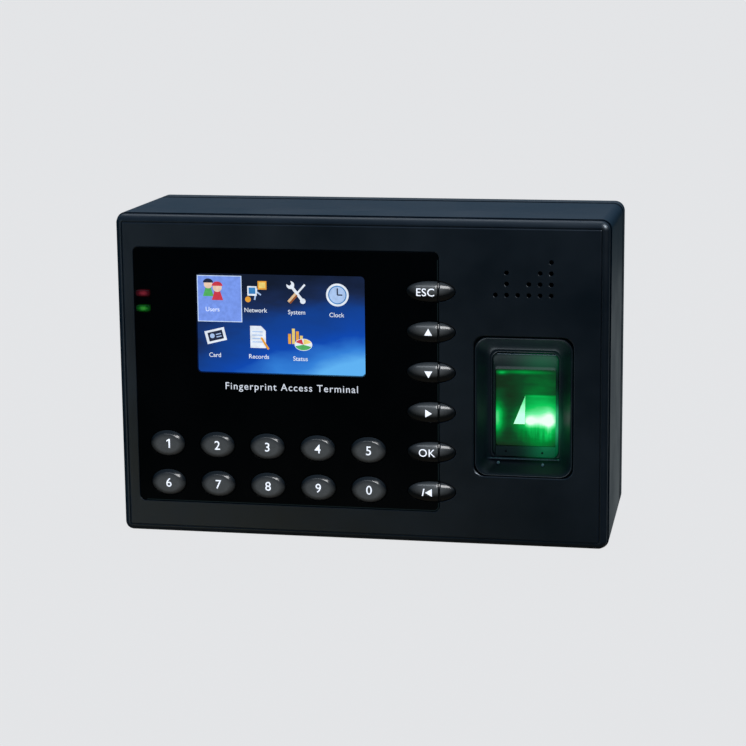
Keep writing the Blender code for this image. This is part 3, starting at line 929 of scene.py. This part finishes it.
def display_panel():
    y0, y1 = PANEL_LOW.y, PANEL_HIGH.y
    cutters = key_holes(y0, y1 + 3, 0.08)
    cutters.append(rectangle_hole(wider(GLASS_RECT, GAP), 1.5, y0, y1 + 3, 0.08))
    for colour in LAMPS:
        x0, *others = wider(lens_rect(colour), GAP)
        cutters.append(slab((x0 - 5.7, *others), y0 - 3, y1 + 3, 0.3, steps=3))
    piece = carved(made("panel_overlay", slab(PANEL_RECT, y0, y1, 2.0, 0.12), PANEL), cutters)
    placed(piece, "panel_black", "display_panel")


def panel_edge_highlight():
    """A painted highlight along the plate's edge: a self-lit pale line, on the right and below
    only.
    """
    x1, z0 = PANEL_HIGH.x - 0.05, PANEL_LOW.z + 0.05
    wide, radius = 0.32, 2.0
    shapes = []
    low = z0 + radius
    for label in reversed(FUNCTIONS):
        x, z, a, b = KEY_PLACES[f"key_{label}"]
        reach = (b + 2 * GAP) * math.sqrt(1 - ((x1 - x) / (a + GAP)) ** 2)
        shapes.append(bar(x1 - wide, x1, low, z - reach))
        low = z + reach
    shapes.append(bar(x1 - wide, x1, low, PANEL_HIGH.z - 2.6))
    shapes.append(bar(PANEL_LOW.x + 2.5, x1 - radius, z0, z0 + wide))
    turns = [-90 * i / 8 for i in range(9)]
    outer, inner = (
        arc(x1 - radius, z0 + radius, size, size, turns) for size in (radius, radius - wide)
    )
    for i in range(8):
        shapes.append(flat([outer[i], outer[i + 1], inner[i + 1], inner[i]]))
    line = merged(shapes)
    bmesh.ops.remove_doubles(line, verts=line.verts, dist=1e-4)
    moved(line, 0, 0, PANEL_LOW.y - 0.02)
    placed(made("panel_edge_line", raised(line, 0.02), PANEL_EDGE_HIGHLIGHT), "panel_black")


def dome_height(dome, share):
    """How far the dome stands out at this share of the radius."""
    for (r1, h1), (r0, h0) in zip(dome, dome[1:]):
        if r0 <= share <= r1:
            return DOME_HEIGHT * (h0 + (h1 - h0) * (share - r0) / (r1 - r0))
    return DOME_HEIGHT * dome[-1][1] if share < dome[-1][0] else 0.0


def add_painted_shade_attribute(piece, name):
    """Marks each point of the dome with painted shade and light: 0 at the rim, up to 1 where the
    painted grey glow is brightest.
    """
    x, z, a, b = KEY_PLACES[name]
    mark = piece.data.attributes.new("dome", "FLOAT", "POINT")
    for vertex, value in zip(piece.data.vertices, mark.data):
        px, pz = (vertex.co.x / MM - x) / a, (vertex.co.z / MM - z) / b
        if name[4:] not in FUNCTIONS:
            # Number keys: painted shade along the top of the rim, painted light growing towards
            # the bottom.
            edge = 1.0 - 0.24 * max(0.0, pz)
            value.value = min(1.0, max(0.0, edge - math.hypot(px, pz)) * 2.6) * (0.96 - 0.2 * pz)
        # Function keys: points near the groove stay 0, a painted shade in it; the painted glow is
        # centred a little above the middle.
        elif abs(vertex.co.x / MM - SLIT) > 0.35:
            share = math.hypot(px * 1.05, (pz - 0.3) * 1.35)
            value.value = min(1.0, max(0.0, 1.0 - share) * 1.6)


def lens_grid(x, z, a, b):
    """Columns of points over a lens-shaped key, which keep to the groove."""
    places = [x - a * math.cos(math.pi * i / LENS_COLUMNS) for i in range(LENS_COLUMNS + 1)]
    places = [place for place in places if abs(place - SLIT) > SLIT_CLEAR]
    places += [SLIT + way * dx for dx, _ in SLIT_PROFILE[:-1] for way in (1, -1)] + [SLIT]
    depths = {round(SLIT + way * dx, 4): deep for dx, deep in SLIT_PROFILE for way in (1, -1)}
    columns = []
    for place in sorted(places):
        half = b * math.sqrt(max(0.0, 1 - ((place - x) / a) ** 2))
        points = []
        for j in range(LENS_ROWS + 1):
            height = -half * math.cos(math.pi * j / LENS_ROWS)
            share = math.hypot((place - x) / a, height / b)
            rise = dome_height(LENS_DOME, share) - depths.get(round(place, 4), 0.0)
            points.append((place, PANEL_LOW.y - max(rise, -0.2), z + height))
        columns.append(points if half > 1e-6 else points[:1])
    return columns


def plug_levels(back):
    """Levels of (y, share of the radius) of what a key has behind its dome."""
    plug, flange = PANEL_LOW.y + 0.6, INSIDE + GAP
    behind = flange + FLANGE_THICK
    return [
        *((plug, 1.0), (flange, 1.0), (flange, FLANGE)),
        *((behind, FLANGE), (behind, FOOT), (back, FOOT)),
    ]


def lens_cap(x, z, a, b, back):
    """A function key's shape: a grooved lens on a plug with the hidden flange behind it."""
    bm = bmesh.new()
    columns = [[bm.verts.new(point) for point in column] for column in lens_grid(x, z, a, b)]
    for one, two in zip(columns, columns[1:]):
        for j in range(LENS_ROWS):
            corners = [one[min(j, len(one) - 1)], two[min(j, len(two) - 1)]]
            corners += [two[min(j + 1, len(two) - 1)], one[min(j + 1, len(one) - 1)]]
            bm.faces.new(list(dict.fromkeys(corners)))
    rim = [column[0] for column in columns] + [column[-1] for column in columns[-2:0:-1]]
    loops = [rim]
    for y, grow in plug_levels(back):
        loops.append(
            [bm.verts.new((x + (v.co.x - x) * grow, y, z + (v.co.z - z) * grow)) for v in rim]
        )
    join_loops(bm, loops)
    bm.faces.new(loops[-1])
    bmesh.ops.recalc_face_normals(bm, faces=bm.faces)
    return bm


def round_cap(x, z, a, b, back):
    """A number key's shape: a dome on a plug with the hidden flange behind it."""
    levels = [(PANEL_LOW.y - DOME_HEIGHT * height, r) for r, height in reversed(DOME)]
    return stack([(y, ellipse(x, z, a * r, b * r, 96)) for y, r in levels + plug_levels(back)])


def key_cap(name):
    shape = lens_cap if name[4:] in FUNCTIONS else round_cap
    piece = made(f"{name}_cap", shape(*KEY_PLACES[name], node_box(name)[1].y), None)
    piece.data.materials.append(KEY)
    piece.data.shade_smooth()
    piece.data.set_sharp_from_angle(angle=math.radians(60))
    add_painted_shade_attribute(piece, name)
    placed(piece, "key_smoke", name, body=name)


def on_dome(bm, name):
    """Lays a flat shape on a key's dome."""
    x, z, a, b = KEY_PLACES[name]
    dome = LENS_DOME if name[4:] in FUNCTIONS else DOME
    diced(bm)
    for vertex in bm.verts:
        share = math.hypot((vertex.co.x - x) / a, (vertex.co.z - z) / b)
        vertex.co.y = PANEL_LOW.y - dome_height(dome, share) - 0.02
    return raised(bm, 0.03)


def numeral_one(x, z):
    """A one with a flag, which the text shapes' plain bar isn't."""
    stem = bar(x + 0.05, x + 0.62, z - 1.75, z + 1.75)
    flag = [(x + 0.04, z + 1.75), (x + 0.04, z + 1.1), (x - 0.75, z + 0.65), (x - 0.75, z + 1.15)]
    return merged([stem, flat(flag)])


def arrow(x, z, label):
    """A filled triangle; the one to the left has a slanted stroke before it."""
    arrows = {"up": (90, 0.6), "down": (270, 0.6), "right": (0, 0.2), "left": (180, 0.8)}
    point, shift = arrows[label]
    turns = [point, point + 120, point + 240]
    shape = flat(arc(x - 1.4 + shift, z - 0.25, 1.72, 1.72, turns))
    if label != "left":
        return shape
    foot = x - 4.4 + shift
    stroke = [(foot, -1.6), (foot + 0.5, -1.6), (foot + 1.1, 1.2), (foot + 0.6, 1.2)]
    return merged([shape, flat([(px, z + pz) for px, pz in stroke])])


def legend(name):
    x, z, _, _ = KEY_PLACES[name]
    label = name[4:]
    if label == "1":
        shape = numeral_one(x + 0.5, z + 0.1)
    elif label in DIGITS:
        shape = letters(label, 3.5, x + 0.25, z + 0.1, weight=0.02)
    elif label == "esc":
        shape = letters("ESC", 3.0, x - 1.9, z - 0.1, 1.06, 0.014)
    elif label == "ok":
        shape = letters("OK", 3.0, x - 1.6, z - 0.1, 1.1, 0.014)
    else:
        shape = arrow(x, z, label)
    placed(made(f"{name}_legend", on_dome(shape, name), PRINT_WITH_PAINTED_GLOW), "key_smoke", body=name)


def lamps():
    for colour, material in LAMPS.items():
        node = f"led_{colour}_lens"
        low, high = node_box(node)
        shape = slab(lens_rect(colour), low.y, high.y, 0.8, 0.35)
        placed(made(f"lamp_{colour}", shape, material), f"lens_{colour}", node)


# ---------------------------------------------------------------- display

# Each icon is drawn round its own middle, as a list of (colour, shape).


def person(x, z, size, cap, coat):
    """A plain pictogram of a person: round head, cap and bell-shaped coat."""
    hem, neck = z - 2.2 * size, z - 0.5 * size
    bell = [(x - size, hem), (x + size, hem), (x + 0.45 * size, neck), (x - 0.45 * size, neck)]
    brim = arc(x, z + 0.25 * size, 0.95 * size, 0.75 * size, range(0, 181, 15))
    return [(coat, flat(bell)), ("skin", disc(x, z, 0.8 * size)), (cap, flat(brim))]


def icon_users():
    return person(-1.6, 1.9, 2.1, "dark", "green") + person(1.9, 0.7, 2.2, "red", "red")


def icon_network():
    return [
        ("pale", turned(bar(-3.2, 2.2, -0.3, 0.3), 35)),
        ("pale", turned(bar(-0.3, 0.3, -3.2, 1.2), 12)),
        ("white", bar(-3.4, 0.2, -1.6, 2.0)),
        ("blue", bar(-2.9, -0.3, -0.9, 1.5)),
        ("orange", bar(0.6, 4.0, 0.8, 4.0)),
        ("yellow", bar(1.1, 3.5, 1.4, 3.5)),
        ("orange", disc(-3.2, -3.0, 1.1)),
    ]


def icon_system():
    """A spanner and a screwdriver, crossed."""
    jaw = [*arc(0, 4.0, 1.5, 1.5, range(130, 411, 20)), (0.5, 4.0), (-0.5, 4.0)]
    spanner = [bar(-0.55, 0.55, -3.6, 3.2), flat(jaw), disc(0, -3.6, 1.05)]
    driver = [
        ("white", bar(-0.35, 0.35, -0.4, 4.6)),
        ("wood", bar(-0.8, 0.8, -4.6, -0.4)),
        ("brown", bar(0.1, 0.8, -4.6, -0.4)),
    ]
    return [("white", turned(shape, -38)) for shape in spanner] + [
        (colour, turned(shape, 42)) for colour, shape in driver
    ]


def icon_clock():
    return [
        ("white", disc(0, 0, 4.3, 40)),
        ("blue", disc(0, 0, 3.5, 40)),
        ("pale", disc(0, 0, 3.1, 40)),
        ("dark", bar(-0.25, 0.25, 0, 2.5)),
        ("dark", bar(0, 1.9, -0.25, 0.25)),
    ]


def icon_card():
    shapes = [
        ("white", bar(-3.9, 3.9, -2.5, 2.5)),
        ("dark", bar(-2.9, 2.9, -1.7, 1.7)),
        ("pale", disc(-1.3, 0.2, 0.9)),
        ("pale", bar(0.2, 2.2, 0.2, 0.6)),
        ("pale", bar(0.2, 2.2, -0.8, -0.4)),
    ]
    return [(colour, turned(shape, -14)) for colour, shape in shapes]


def icon_records():
    """A page of lines with a pencil."""
    page = flat([(-3.0, -4.2), (3.0, -4.2), (3.0, 2.4), (1.2, 4.2), (-3.0, 4.2)])
    lines = [("pale", bar(-2.2, 1.8, low, low + 0.4)) for low in (1.8, 0.5, -0.8, -2.1)]
    pencil = turned(bar(2.2, 3.0, -5.0, 0.2), -32, 2.6, -2.4)
    return [("white", page), *lines, ("orange", pencil)]


def icon_status():
    """A bar chart with a pie chart before it."""
    columns = [("orange", 2.2), ("yellow", 4.2), ("orange", 3.2), ("yellow", 1.6)]
    shapes = [
        (colour, bar(-4.2 + 1.5 * i, -3.1 + 1.5 * i, -1.6, height))
        for i, (colour, height) in enumerate(columns)
    ]
    middle = (1.6, -1.8)
    shapes.append(("white", flat(ellipse(*middle, 3.4, 2.3, 36))))
    for colour, first, last in (("green", 196, 350), ("red", 100, 160), ("yellow", 20, 96)):
        wedge = [middle, *arc(*middle, 3.2, 2.1, range(first, last, 11))]
        shapes.append((colour, flat(wedge)))
    return shapes


MENU = [  # label, icon, x and z of the icon, x and z of the label, from the screen's corner
    ("Users", icon_users, 6.1, 31.6, 6.0, 24.0),
    ("Network", icon_network, 23.0, 31.0, 22.6, 24.0),
    ("System", icon_system, 38.6, 30.6, 38.4, 23.6),
    ("Clock", icon_clock, 54.0, 30.4, 53.6, 22.9),
    ("Card", icon_card, 7.0, 13.9, 6.6, 6.6),
    ("Records", icon_records, 23.4, 13.8, 23.6, 6.4),
    ("Status", icon_status, 39.2, 13.1, 39.6, 6.0),
]
SELECTION = (0.4, 17.2, 19.4, 36.6)
SELECTION_EDGES = [
    *((0.2, 17.4, 36.5, 36.8), (0.2, 17.4, 19.2, 19.5)),
    *((0.2, 0.5, 19.5, 36.5), (17.1, 17.4, 19.5, 36.5)),
]


def display():
    """The lit screen, with the marks of each colour as one piece."""
    piece = made("screen", slab(GLASS_RECT, GLASS_LOW.y, GLASS_HIGH.y, 1.3, 0.1), SCREEN)
    placed(piece, "screen_glass", "lcd_glass")
    layers = [("select", bar(*SELECTION))]
    layers += [("frame", bar(*edge)) for edge in SELECTION_EDGES]
    for label, icon, x, z, label_x, label_z in MENU:
        layers += [(colour, moved(shape, x, z)) for colour, shape in icon()]
        layers.append(("white", letters(label, 1.7, label_x, label_z, weight=0.012)))
    by_colour = {}
    for number, (colour, shape) in enumerate(layers):
        moved(shape, GLASS_LOW.x, GLASS_LOW.z, GLASS_LOW.y - 0.01 - 0.004 * number)
        by_colour.setdefault(colour, []).append(raised(shape, 0.003))
    for colour, shapes in by_colour.items():
        mark = made(f"screen_{colour}", merged(shapes), ICON_MATERIALS[colour])
        placed(mark, "screen_glass")


def caption():
    shape = letters("Fingerprint Access Terminal", 2.75, -25.7, -2.9, 1.16, 0.01)
    moved(shape, 0, 0, PANEL_LOW.y - 0.01)
    placed(made("panel_caption", raised(shape, 0.02), PRINT_WITH_PAINTED_GLOW), "panel_black")


# ---------------------------------------------------------------- sensor


def blended(first, second, share):
    return [a + (b - a) * share for a, b in zip(first, second)]


def sensor_bezel():
    """A collar whose mouth lies in the casing and whose hollow walls run down to the glass."""
    outer = wider(SENSOR_RECT, -GAP)
    mouth = wider(outer, -0.7)
    walls = [  # share of the way from the floor to the mouth, corner radius, y
        *((0.0, 2.6, BEZEL_BACK), (0.0, 2.6, -57.4), (0.02, 2.65, -57.65)),
        *((0.06, 2.75, -57.85), (0.11, 2.9, -57.88), (0.16, 3.0, -57.75), (0.20, 3.1, -57.6)),
        *((0.30, 3.3, -57.85), (0.44, 3.6, -58.6), (0.58, 3.9, -59.7), (0.72, 4.1, -61.0)),
        *((0.84, 4.3, -62.1), (0.93, 4.4, -62.9), (1.0, 4.5, -63.35)),
    ]
    profile = [(blended(FLOOR_RECT, mouth, share), radius, y) for share, radius, y in walls]
    profile += [
        (blended(mouth, outer, 0.35), 4.6, -63.6),
        (blended(mouth, outer, 0.70), 4.7, -63.62),
        (outer, 4.8, -63.4),
        (outer, 4.8, -60.7),
        (BEZEL_RECT, 5.0, -60.7),
        (BEZEL_RECT, 5.0, -58.5),
        (outer, 4.8, -58.5),
        (outer, 4.8, BEZEL_BACK),
    ]
    ring = stack([(y, rectangle(*rect, radius)) for rect, radius, y in profile], hollow=True)
    placed(made("sensor_collar", ring, BEZEL, 50.0), "bezel_black", "sensor_bezel")


def sensor_frame():
    """The sloping frame between the collar and the glass, with a fine rib along its top."""
    outer = wider(FLOOR_RECT, -0.1)
    x0, x1, _, z1 = wider(PLATEN_RECT, 0.15)
    inner = (x0, x1, outer[2] + 0.12, z1)
    slope = [  # share of the way from the collar to the glass, y
        *((0.0, -56.5), (0.0, -57.7), (0.1, -57.78), (0.2, -57.6), (0.45, -57.45)),
        *((0.7, -57.3), (0.78, -57.38), (0.86, -57.3), (1.0, -57.1), (1.0, -56.5)),
    ]
    rings = [
        (y, rectangle(*blended(outer, inner, share), 2.5 - 1.7 * share)) for share, y in slope
    ]
    placed(made("sensor_inner_frame", stack(rings, hollow=True), LEDGE, 50.0), "bezel_black")


def sensor_glass():
    """The lit glass, with the lamp's image on it as a bright wedge."""
    shape = slab(PLATEN_RECT, PLATEN_FRONT, PLATEN_FRONT + 6, 0.7, 0.25)
    placed(made("sensor_platen", shape, PLATEN), "platen_glass", "sensor_prism")
    wedge = moved(flat([(57.4, -15.6), (61.6, -15.6), (61.75, -4.8)]), 0, 0, PLATEN_FRONT - 0.03)
    placed(made("sensor_lamp_image", raised(wedge, 0.01), LAMP_IMAGE), "platen_glass")


def sensor_ledge():
    """The sloping step under the glass with its marks, and the collar's lips and studs."""
    x0, x1, z0, _ = PLATEN_RECT
    bm = bmesh.new()
    profile = [(-56.5, z0 - 0.2), (-57.15, z0 - 0.2), (-57.9, -27.7), (-56.5, -27.7)]
    ends = [[bm.verts.new((x, y, z)) for y, z in profile] for x in (x0 - 0.1, x1 + 0.1)]
    join_loops(bm, ends)
    for end in ends:
        bm.faces.new(end)
    bmesh.ops.recalc_face_normals(bm, faces=bm.faces)
    bmesh.ops.bevel(bm, geom=bm.edges[:], offset=0.12, segments=2, profile=0.5, affect="EDGES")
    placed(made("sensor_ledge", bm, LEDGE), "bezel_black")
    for name, front, rect in (
        ("lower", -58.7, (47.3, 74.8, -28.85, -28.5)),
        ("upper", -58.2, (51.2, 73.2, 10.9, 11.25)),
    ):
        # The lips' pale colour is a painted highlight line.
        lip = made(f"sensor_lip_{name}", slab(rect, front, -57.4, 0.17, 0.16), LIP_HIGHLIGHT)
        placed(lip, "bezel_black")
    for name, x, z, y, radius, material in (
        # mark_1 and mark_2 are dark pins: painted shade of small pits.
        ("mark_1", 54.6, -26.0, -57.7, 0.4, PIT_SHADE),
        ("mark_2", 68.2, -26.3, -57.7, 0.4, PIT_SHADE),
        ("stud_1", 51.9, -30.2, -59.4, 0.5, STUD),
        ("stud_2", 68.6, -30.5, -59.6, 0.5, STUD),
    ):
        pin = lathed(x, z, [(y - 0.12, radius * 0.7), (y, radius), (y + 1.2, radius)], 20)
        placed(made(f"sensor_{name}", pin, material), "bezel_black")


# ---------------------------------------------------------------- carried-over CAD nodes


def dress_cad_nodes():
    """Gives the CAD nodes that stay as they are their finishes."""
    board = textured("solder_mask", linear(18, 84, 52), 0.38, grain=300.0)
    silicone = textured("silicone", linear(120, 121, 124), 0.7, grain=400.0)
    white = textured("white_plastic", linear(226, 226, 222), 0.5)
    black = textured("socket_black", linear(20, 20, 22), 0.5)
    paper = textured("paper_cone", linear(30, 30, 32), 0.9, grain=700.0, depth=0.00005)
    green = textured("terminal_green", linear(46, 136, 86), 0.45)
    film = textured("polyimide", linear(176, 112, 50), 0.4, grain=260.0)
    lens = textured("lens_coated", linear(60, 62, 70), 0.08, depth=0.0, coat=1.0)
    for material, *nodes in (
        (board, "keypad_board", "sensor_led_bar", "sensor_board", "main_board"),
        (silicone, "number_key_mat", "function_key_mat"),
        (white, "lcd_backlight", "tamper_plunger"),
        (black, "speaker_frame", "coin_cell_holder", "buzzer", "relay"),
        (black, "power_jack", "tamper_switch"),
        (paper, "speaker_cone"),
        (green, "terminal_block"),
        (film, "lcd_ribbon", "keypad_ribbon", "sensor_cable"),
        (lens, "sensor_lens"),
        (BEZEL, "sensor_chassis"),
        (STEEL, "lcd_frame", "processor_shield", "coin_cell"),
        (STEEL, "network_jack", "usb_socket", "speaker_magnet"),
    ):
        for node in nodes:
            materials = frame["nodes"][node].data.materials
            materials.clear()
            materials.append(material)


# ---------------------------------------------------------------- studio

PALE = (*linear(228, 229, 231), 1.0)
WHITE = (1.0, 1.0, 1.0)
SHELLS = ("front_cover_shell", "housing_shell", "back_shell")
COLLAR = ("sensor_collar", "sensor_inner_frame", "sensor_ledge", "sensor_lip")
KEY_LIT = ("key_",)
# Name, the pieces it lights by the start of their names (all if empty), place, target, width and
# height in metres, watts and colour.
SOFTBOXES = [
    ("top_softbox", (), (0.25, 0.15, 0.95), (0, 0, 0), 1.3, 0.9, 2.3, (0.70, 0.86, 1.0)),
    ("back_softbox", (), (-0.3, 0.7, 1.0), (0, 0, 0), 0.8, 0.6, 1.6, WHITE),
    ("right_card", (), (0.33, 0.74, -0.38), (0.09, 0, -0.03), 0.5, 0.6, 0.24, (0.90, 0.97, 1.0)),
    ("key_softbox", KEY_LIT, (0.17, -0.98, 0.46), (0, 0, 0), 0.36, 0.30, 4.4, WHITE),
    (
        *("key_rim_softbox", KEY_LIT, (-0.22, -0.96, 0.50), (0, 0, 0)),
        *(0.56, 0.16, 0.9, (0.85, 0.92, 1.0)),
    ),
    (
        *("corner_softbox", SHELLS[:1], (0.72, -0.36, 0.70), (0, 0, 0)),
        *(0.44, 0.44, 20.0, (0.8, 0.9, 1.0)),
    ),
    (
        *("warm_card", SHELLS, (-0.40, -0.80, -0.44), (-0.1, -0.06, -0.04)),
        *(0.4, 0.3, 0.5, (1.0, 0.84, 0.36)),
    ),
    (
        *("left_card", SHELLS, (-0.62, -0.76, -0.02), (-0.1, -0.06, 0)),
        *(0.3, 0.8, 1.3, (0.66, 0.84, 1.0)),
    ),
    (
        *("collar_card", COLLAR, (0.1, -0.55, -0.6), (0.03, -0.06, -0.03)),
        *(0.7, 0.4, 5.0, (0.78, 0.9, 1.0)),
    ),
    ("fill_card", KEY_LIT, (0.1, -0.7, -0.4), (0, -0.06, 0), 0.7, 0.4, 0.6, (0.9, 0.95, 1.0)),
    (
        *("panel_card", ("panel_overlay",), (-0.2, -0.85, -0.5), (0, -0.06, -0.03)),
        *(0.5, 0.3, 0.16, (1.0, 0.98, 0.9)),
    ),
]


def softbox(name, names, place, target, wide, tall, power, colour):
    """An unseen area light; names keep it to some pieces, as a flag would."""
    data = bpy.data.lights.new(name, "AREA")
    data.shape = "RECTANGLE"
    data.size = wide
    data.size_y = tall
    data.energy = power
    data.color = colour
    light = shown(bpy.data.objects.new(name, data))
    light.visible_camera = False
    light.location = place
    light.rotation_mode = "QUATERNION"
    light.rotation_quaternion = (Vector(target) - Vector(place)).to_track_quat("-Z", "Y")
    if names:
        group = bpy.data.collections.new(f"{name}_lit")
        for piece in bpy.context.scene.objects:
            if piece.name.startswith(names):
                group.objects.link(piece)
        light.light_linking.receiver_collection = group
    return light


def lights():
    placed_lights = {row[0]: softbox(*row) for row in SOFTBOXES}
    placed_lights["corner_softbox"].visible_diffuse = False
    placed_lights["fill_card"].visible_glossy = False
    lamp = bpy.data.lights.new("sensor_spill", "POINT")
    lamp.energy = 0.0015
    lamp.color = (0.12, 1.0, 0.35)
    lamp.shadow_soft_size = 0.003
    spill = shown(bpy.data.objects.new("sensor_spill", lamp))
    spill.location = (0.067, -0.0605, -0.0135)
    spill.visible_camera = False
    spill.visible_glossy = False


def floor():
    """A plain pale floor that shines evenly and lights nothing."""
    bm = bmesh.new()
    bmesh.ops.create_circle(bm, cap_ends=True, segments=96, radius=12.0)
    bmesh.ops.translate(bm, vec=(0, 0, COVER_LOW.z * MM - 0.0004), verts=bm.verts)
    mesh = bpy.data.meshes.new("floor")
    bm.to_mesh(mesh)
    bm.free()
    piece = shown(bpy.data.objects.new("floor", mesh))
    material, _, shader = new_material("floor_pale")
    fill(shader, {"Base Color": (0.02, 0.02, 0.02, 1.0), "Roughness": 0.9})
    fill(shader, {"Specular IOR Level": 0.0, "Emission Color": PALE, "Emission Strength": 0.99})
    mesh.materials.append(material)
    piece.visible_diffuse = False
    piece.visible_glossy = False
    piece.visible_shadow = False


def world():
    """Pale to the camera; to everything else a dim sky, brighter above."""
    studio = bpy.data.worlds.new("studio")
    bpy.context.scene.world = studio
    studio.use_nodes = True
    tree = studio.node_tree
    place = add_node(tree, "ShaderNodeTexCoord")
    parts = add_node(tree, "ShaderNodeSeparateXYZ")
    feed(Value(tree, place.outputs["Generated"]), parts, 0)
    stops = [
        (0.00, (0.08, 0.07, 0.05)),
        (0.38, (0.012, 0.030, 0.034)),
        (0.50, (0.01, 0.030, 0.05)),
        (0.60, (0.05, 0.11, 0.18)),
        (1.00, (0.24, 0.36, 0.50)),
    ]
    sky = ramp(between(Value(tree, parts.outputs["Z"]), 0.0, 1.0, -1.0, 1.0), stops)
    seen = add_node(tree, "ShaderNodeLightPath")
    pick = add_node(tree, "ShaderNodeMix", data_type="RGBA")
    feed(Value(tree, seen.outputs["Is Camera Ray"]), pick, 0)
    feed(sky, pick, 6)  # inputs 6 and 7 are the two colours
    fill(pick, {7: PALE})
    feed(Value(tree, pick.outputs[2]), tree.nodes["Background"], "Color")


def camera():
    """The photograph's view: from the right and a little above, with a slight tilt."""
    yaw, pitch, roll = (math.radians(a) for a in (11.32, 11.46, -0.60))
    target = Vector((5.62, FACE, 3.56)) * MM
    distance = 833.0 * MM
    back = Vector(
        (math.sin(yaw) * math.cos(pitch), -math.cos(yaw) * math.cos(pitch), math.sin(pitch))
    )
    level = Vector((math.cos(yaw), math.sin(yaw), 0.0))
    up = back.cross(level)
    right = level * math.cos(roll) + up * math.sin(roll)
    up = up * math.cos(roll) - level * math.sin(roll)
    data = bpy.data.cameras.new("camera")
    data.sensor_width = 36.0
    data.lens = 108.09
    data.clip_start = 0.01
    data.clip_end = 50.0
    view = shown(bpy.data.objects.new("camera", data))
    axes = Matrix((right, up, back)).transposed().to_4x4()
    view.matrix_world = Matrix.Translation(target + back * distance) @ axes
    bpy.context.scene.camera = view


camera()
front_cover()
main_housing()
back_cover()
wall_plate()
for screw_name in CASE_SCREWS:
    screw(screw_name)
screw("locking_screw", along_z=True)
display_panel()
panel_edge_highlight()
for key_name in KEYS:
    key_cap(key_name)
    legend(key_name)
lamps()
display()
caption()
sensor_bezel()
sensor_frame()
sensor_glass()
sensor_ledge()
dress_cad_nodes()
floor()
world()
lights()
bpy.context.scene.view_settings.view_transform = "Standard"
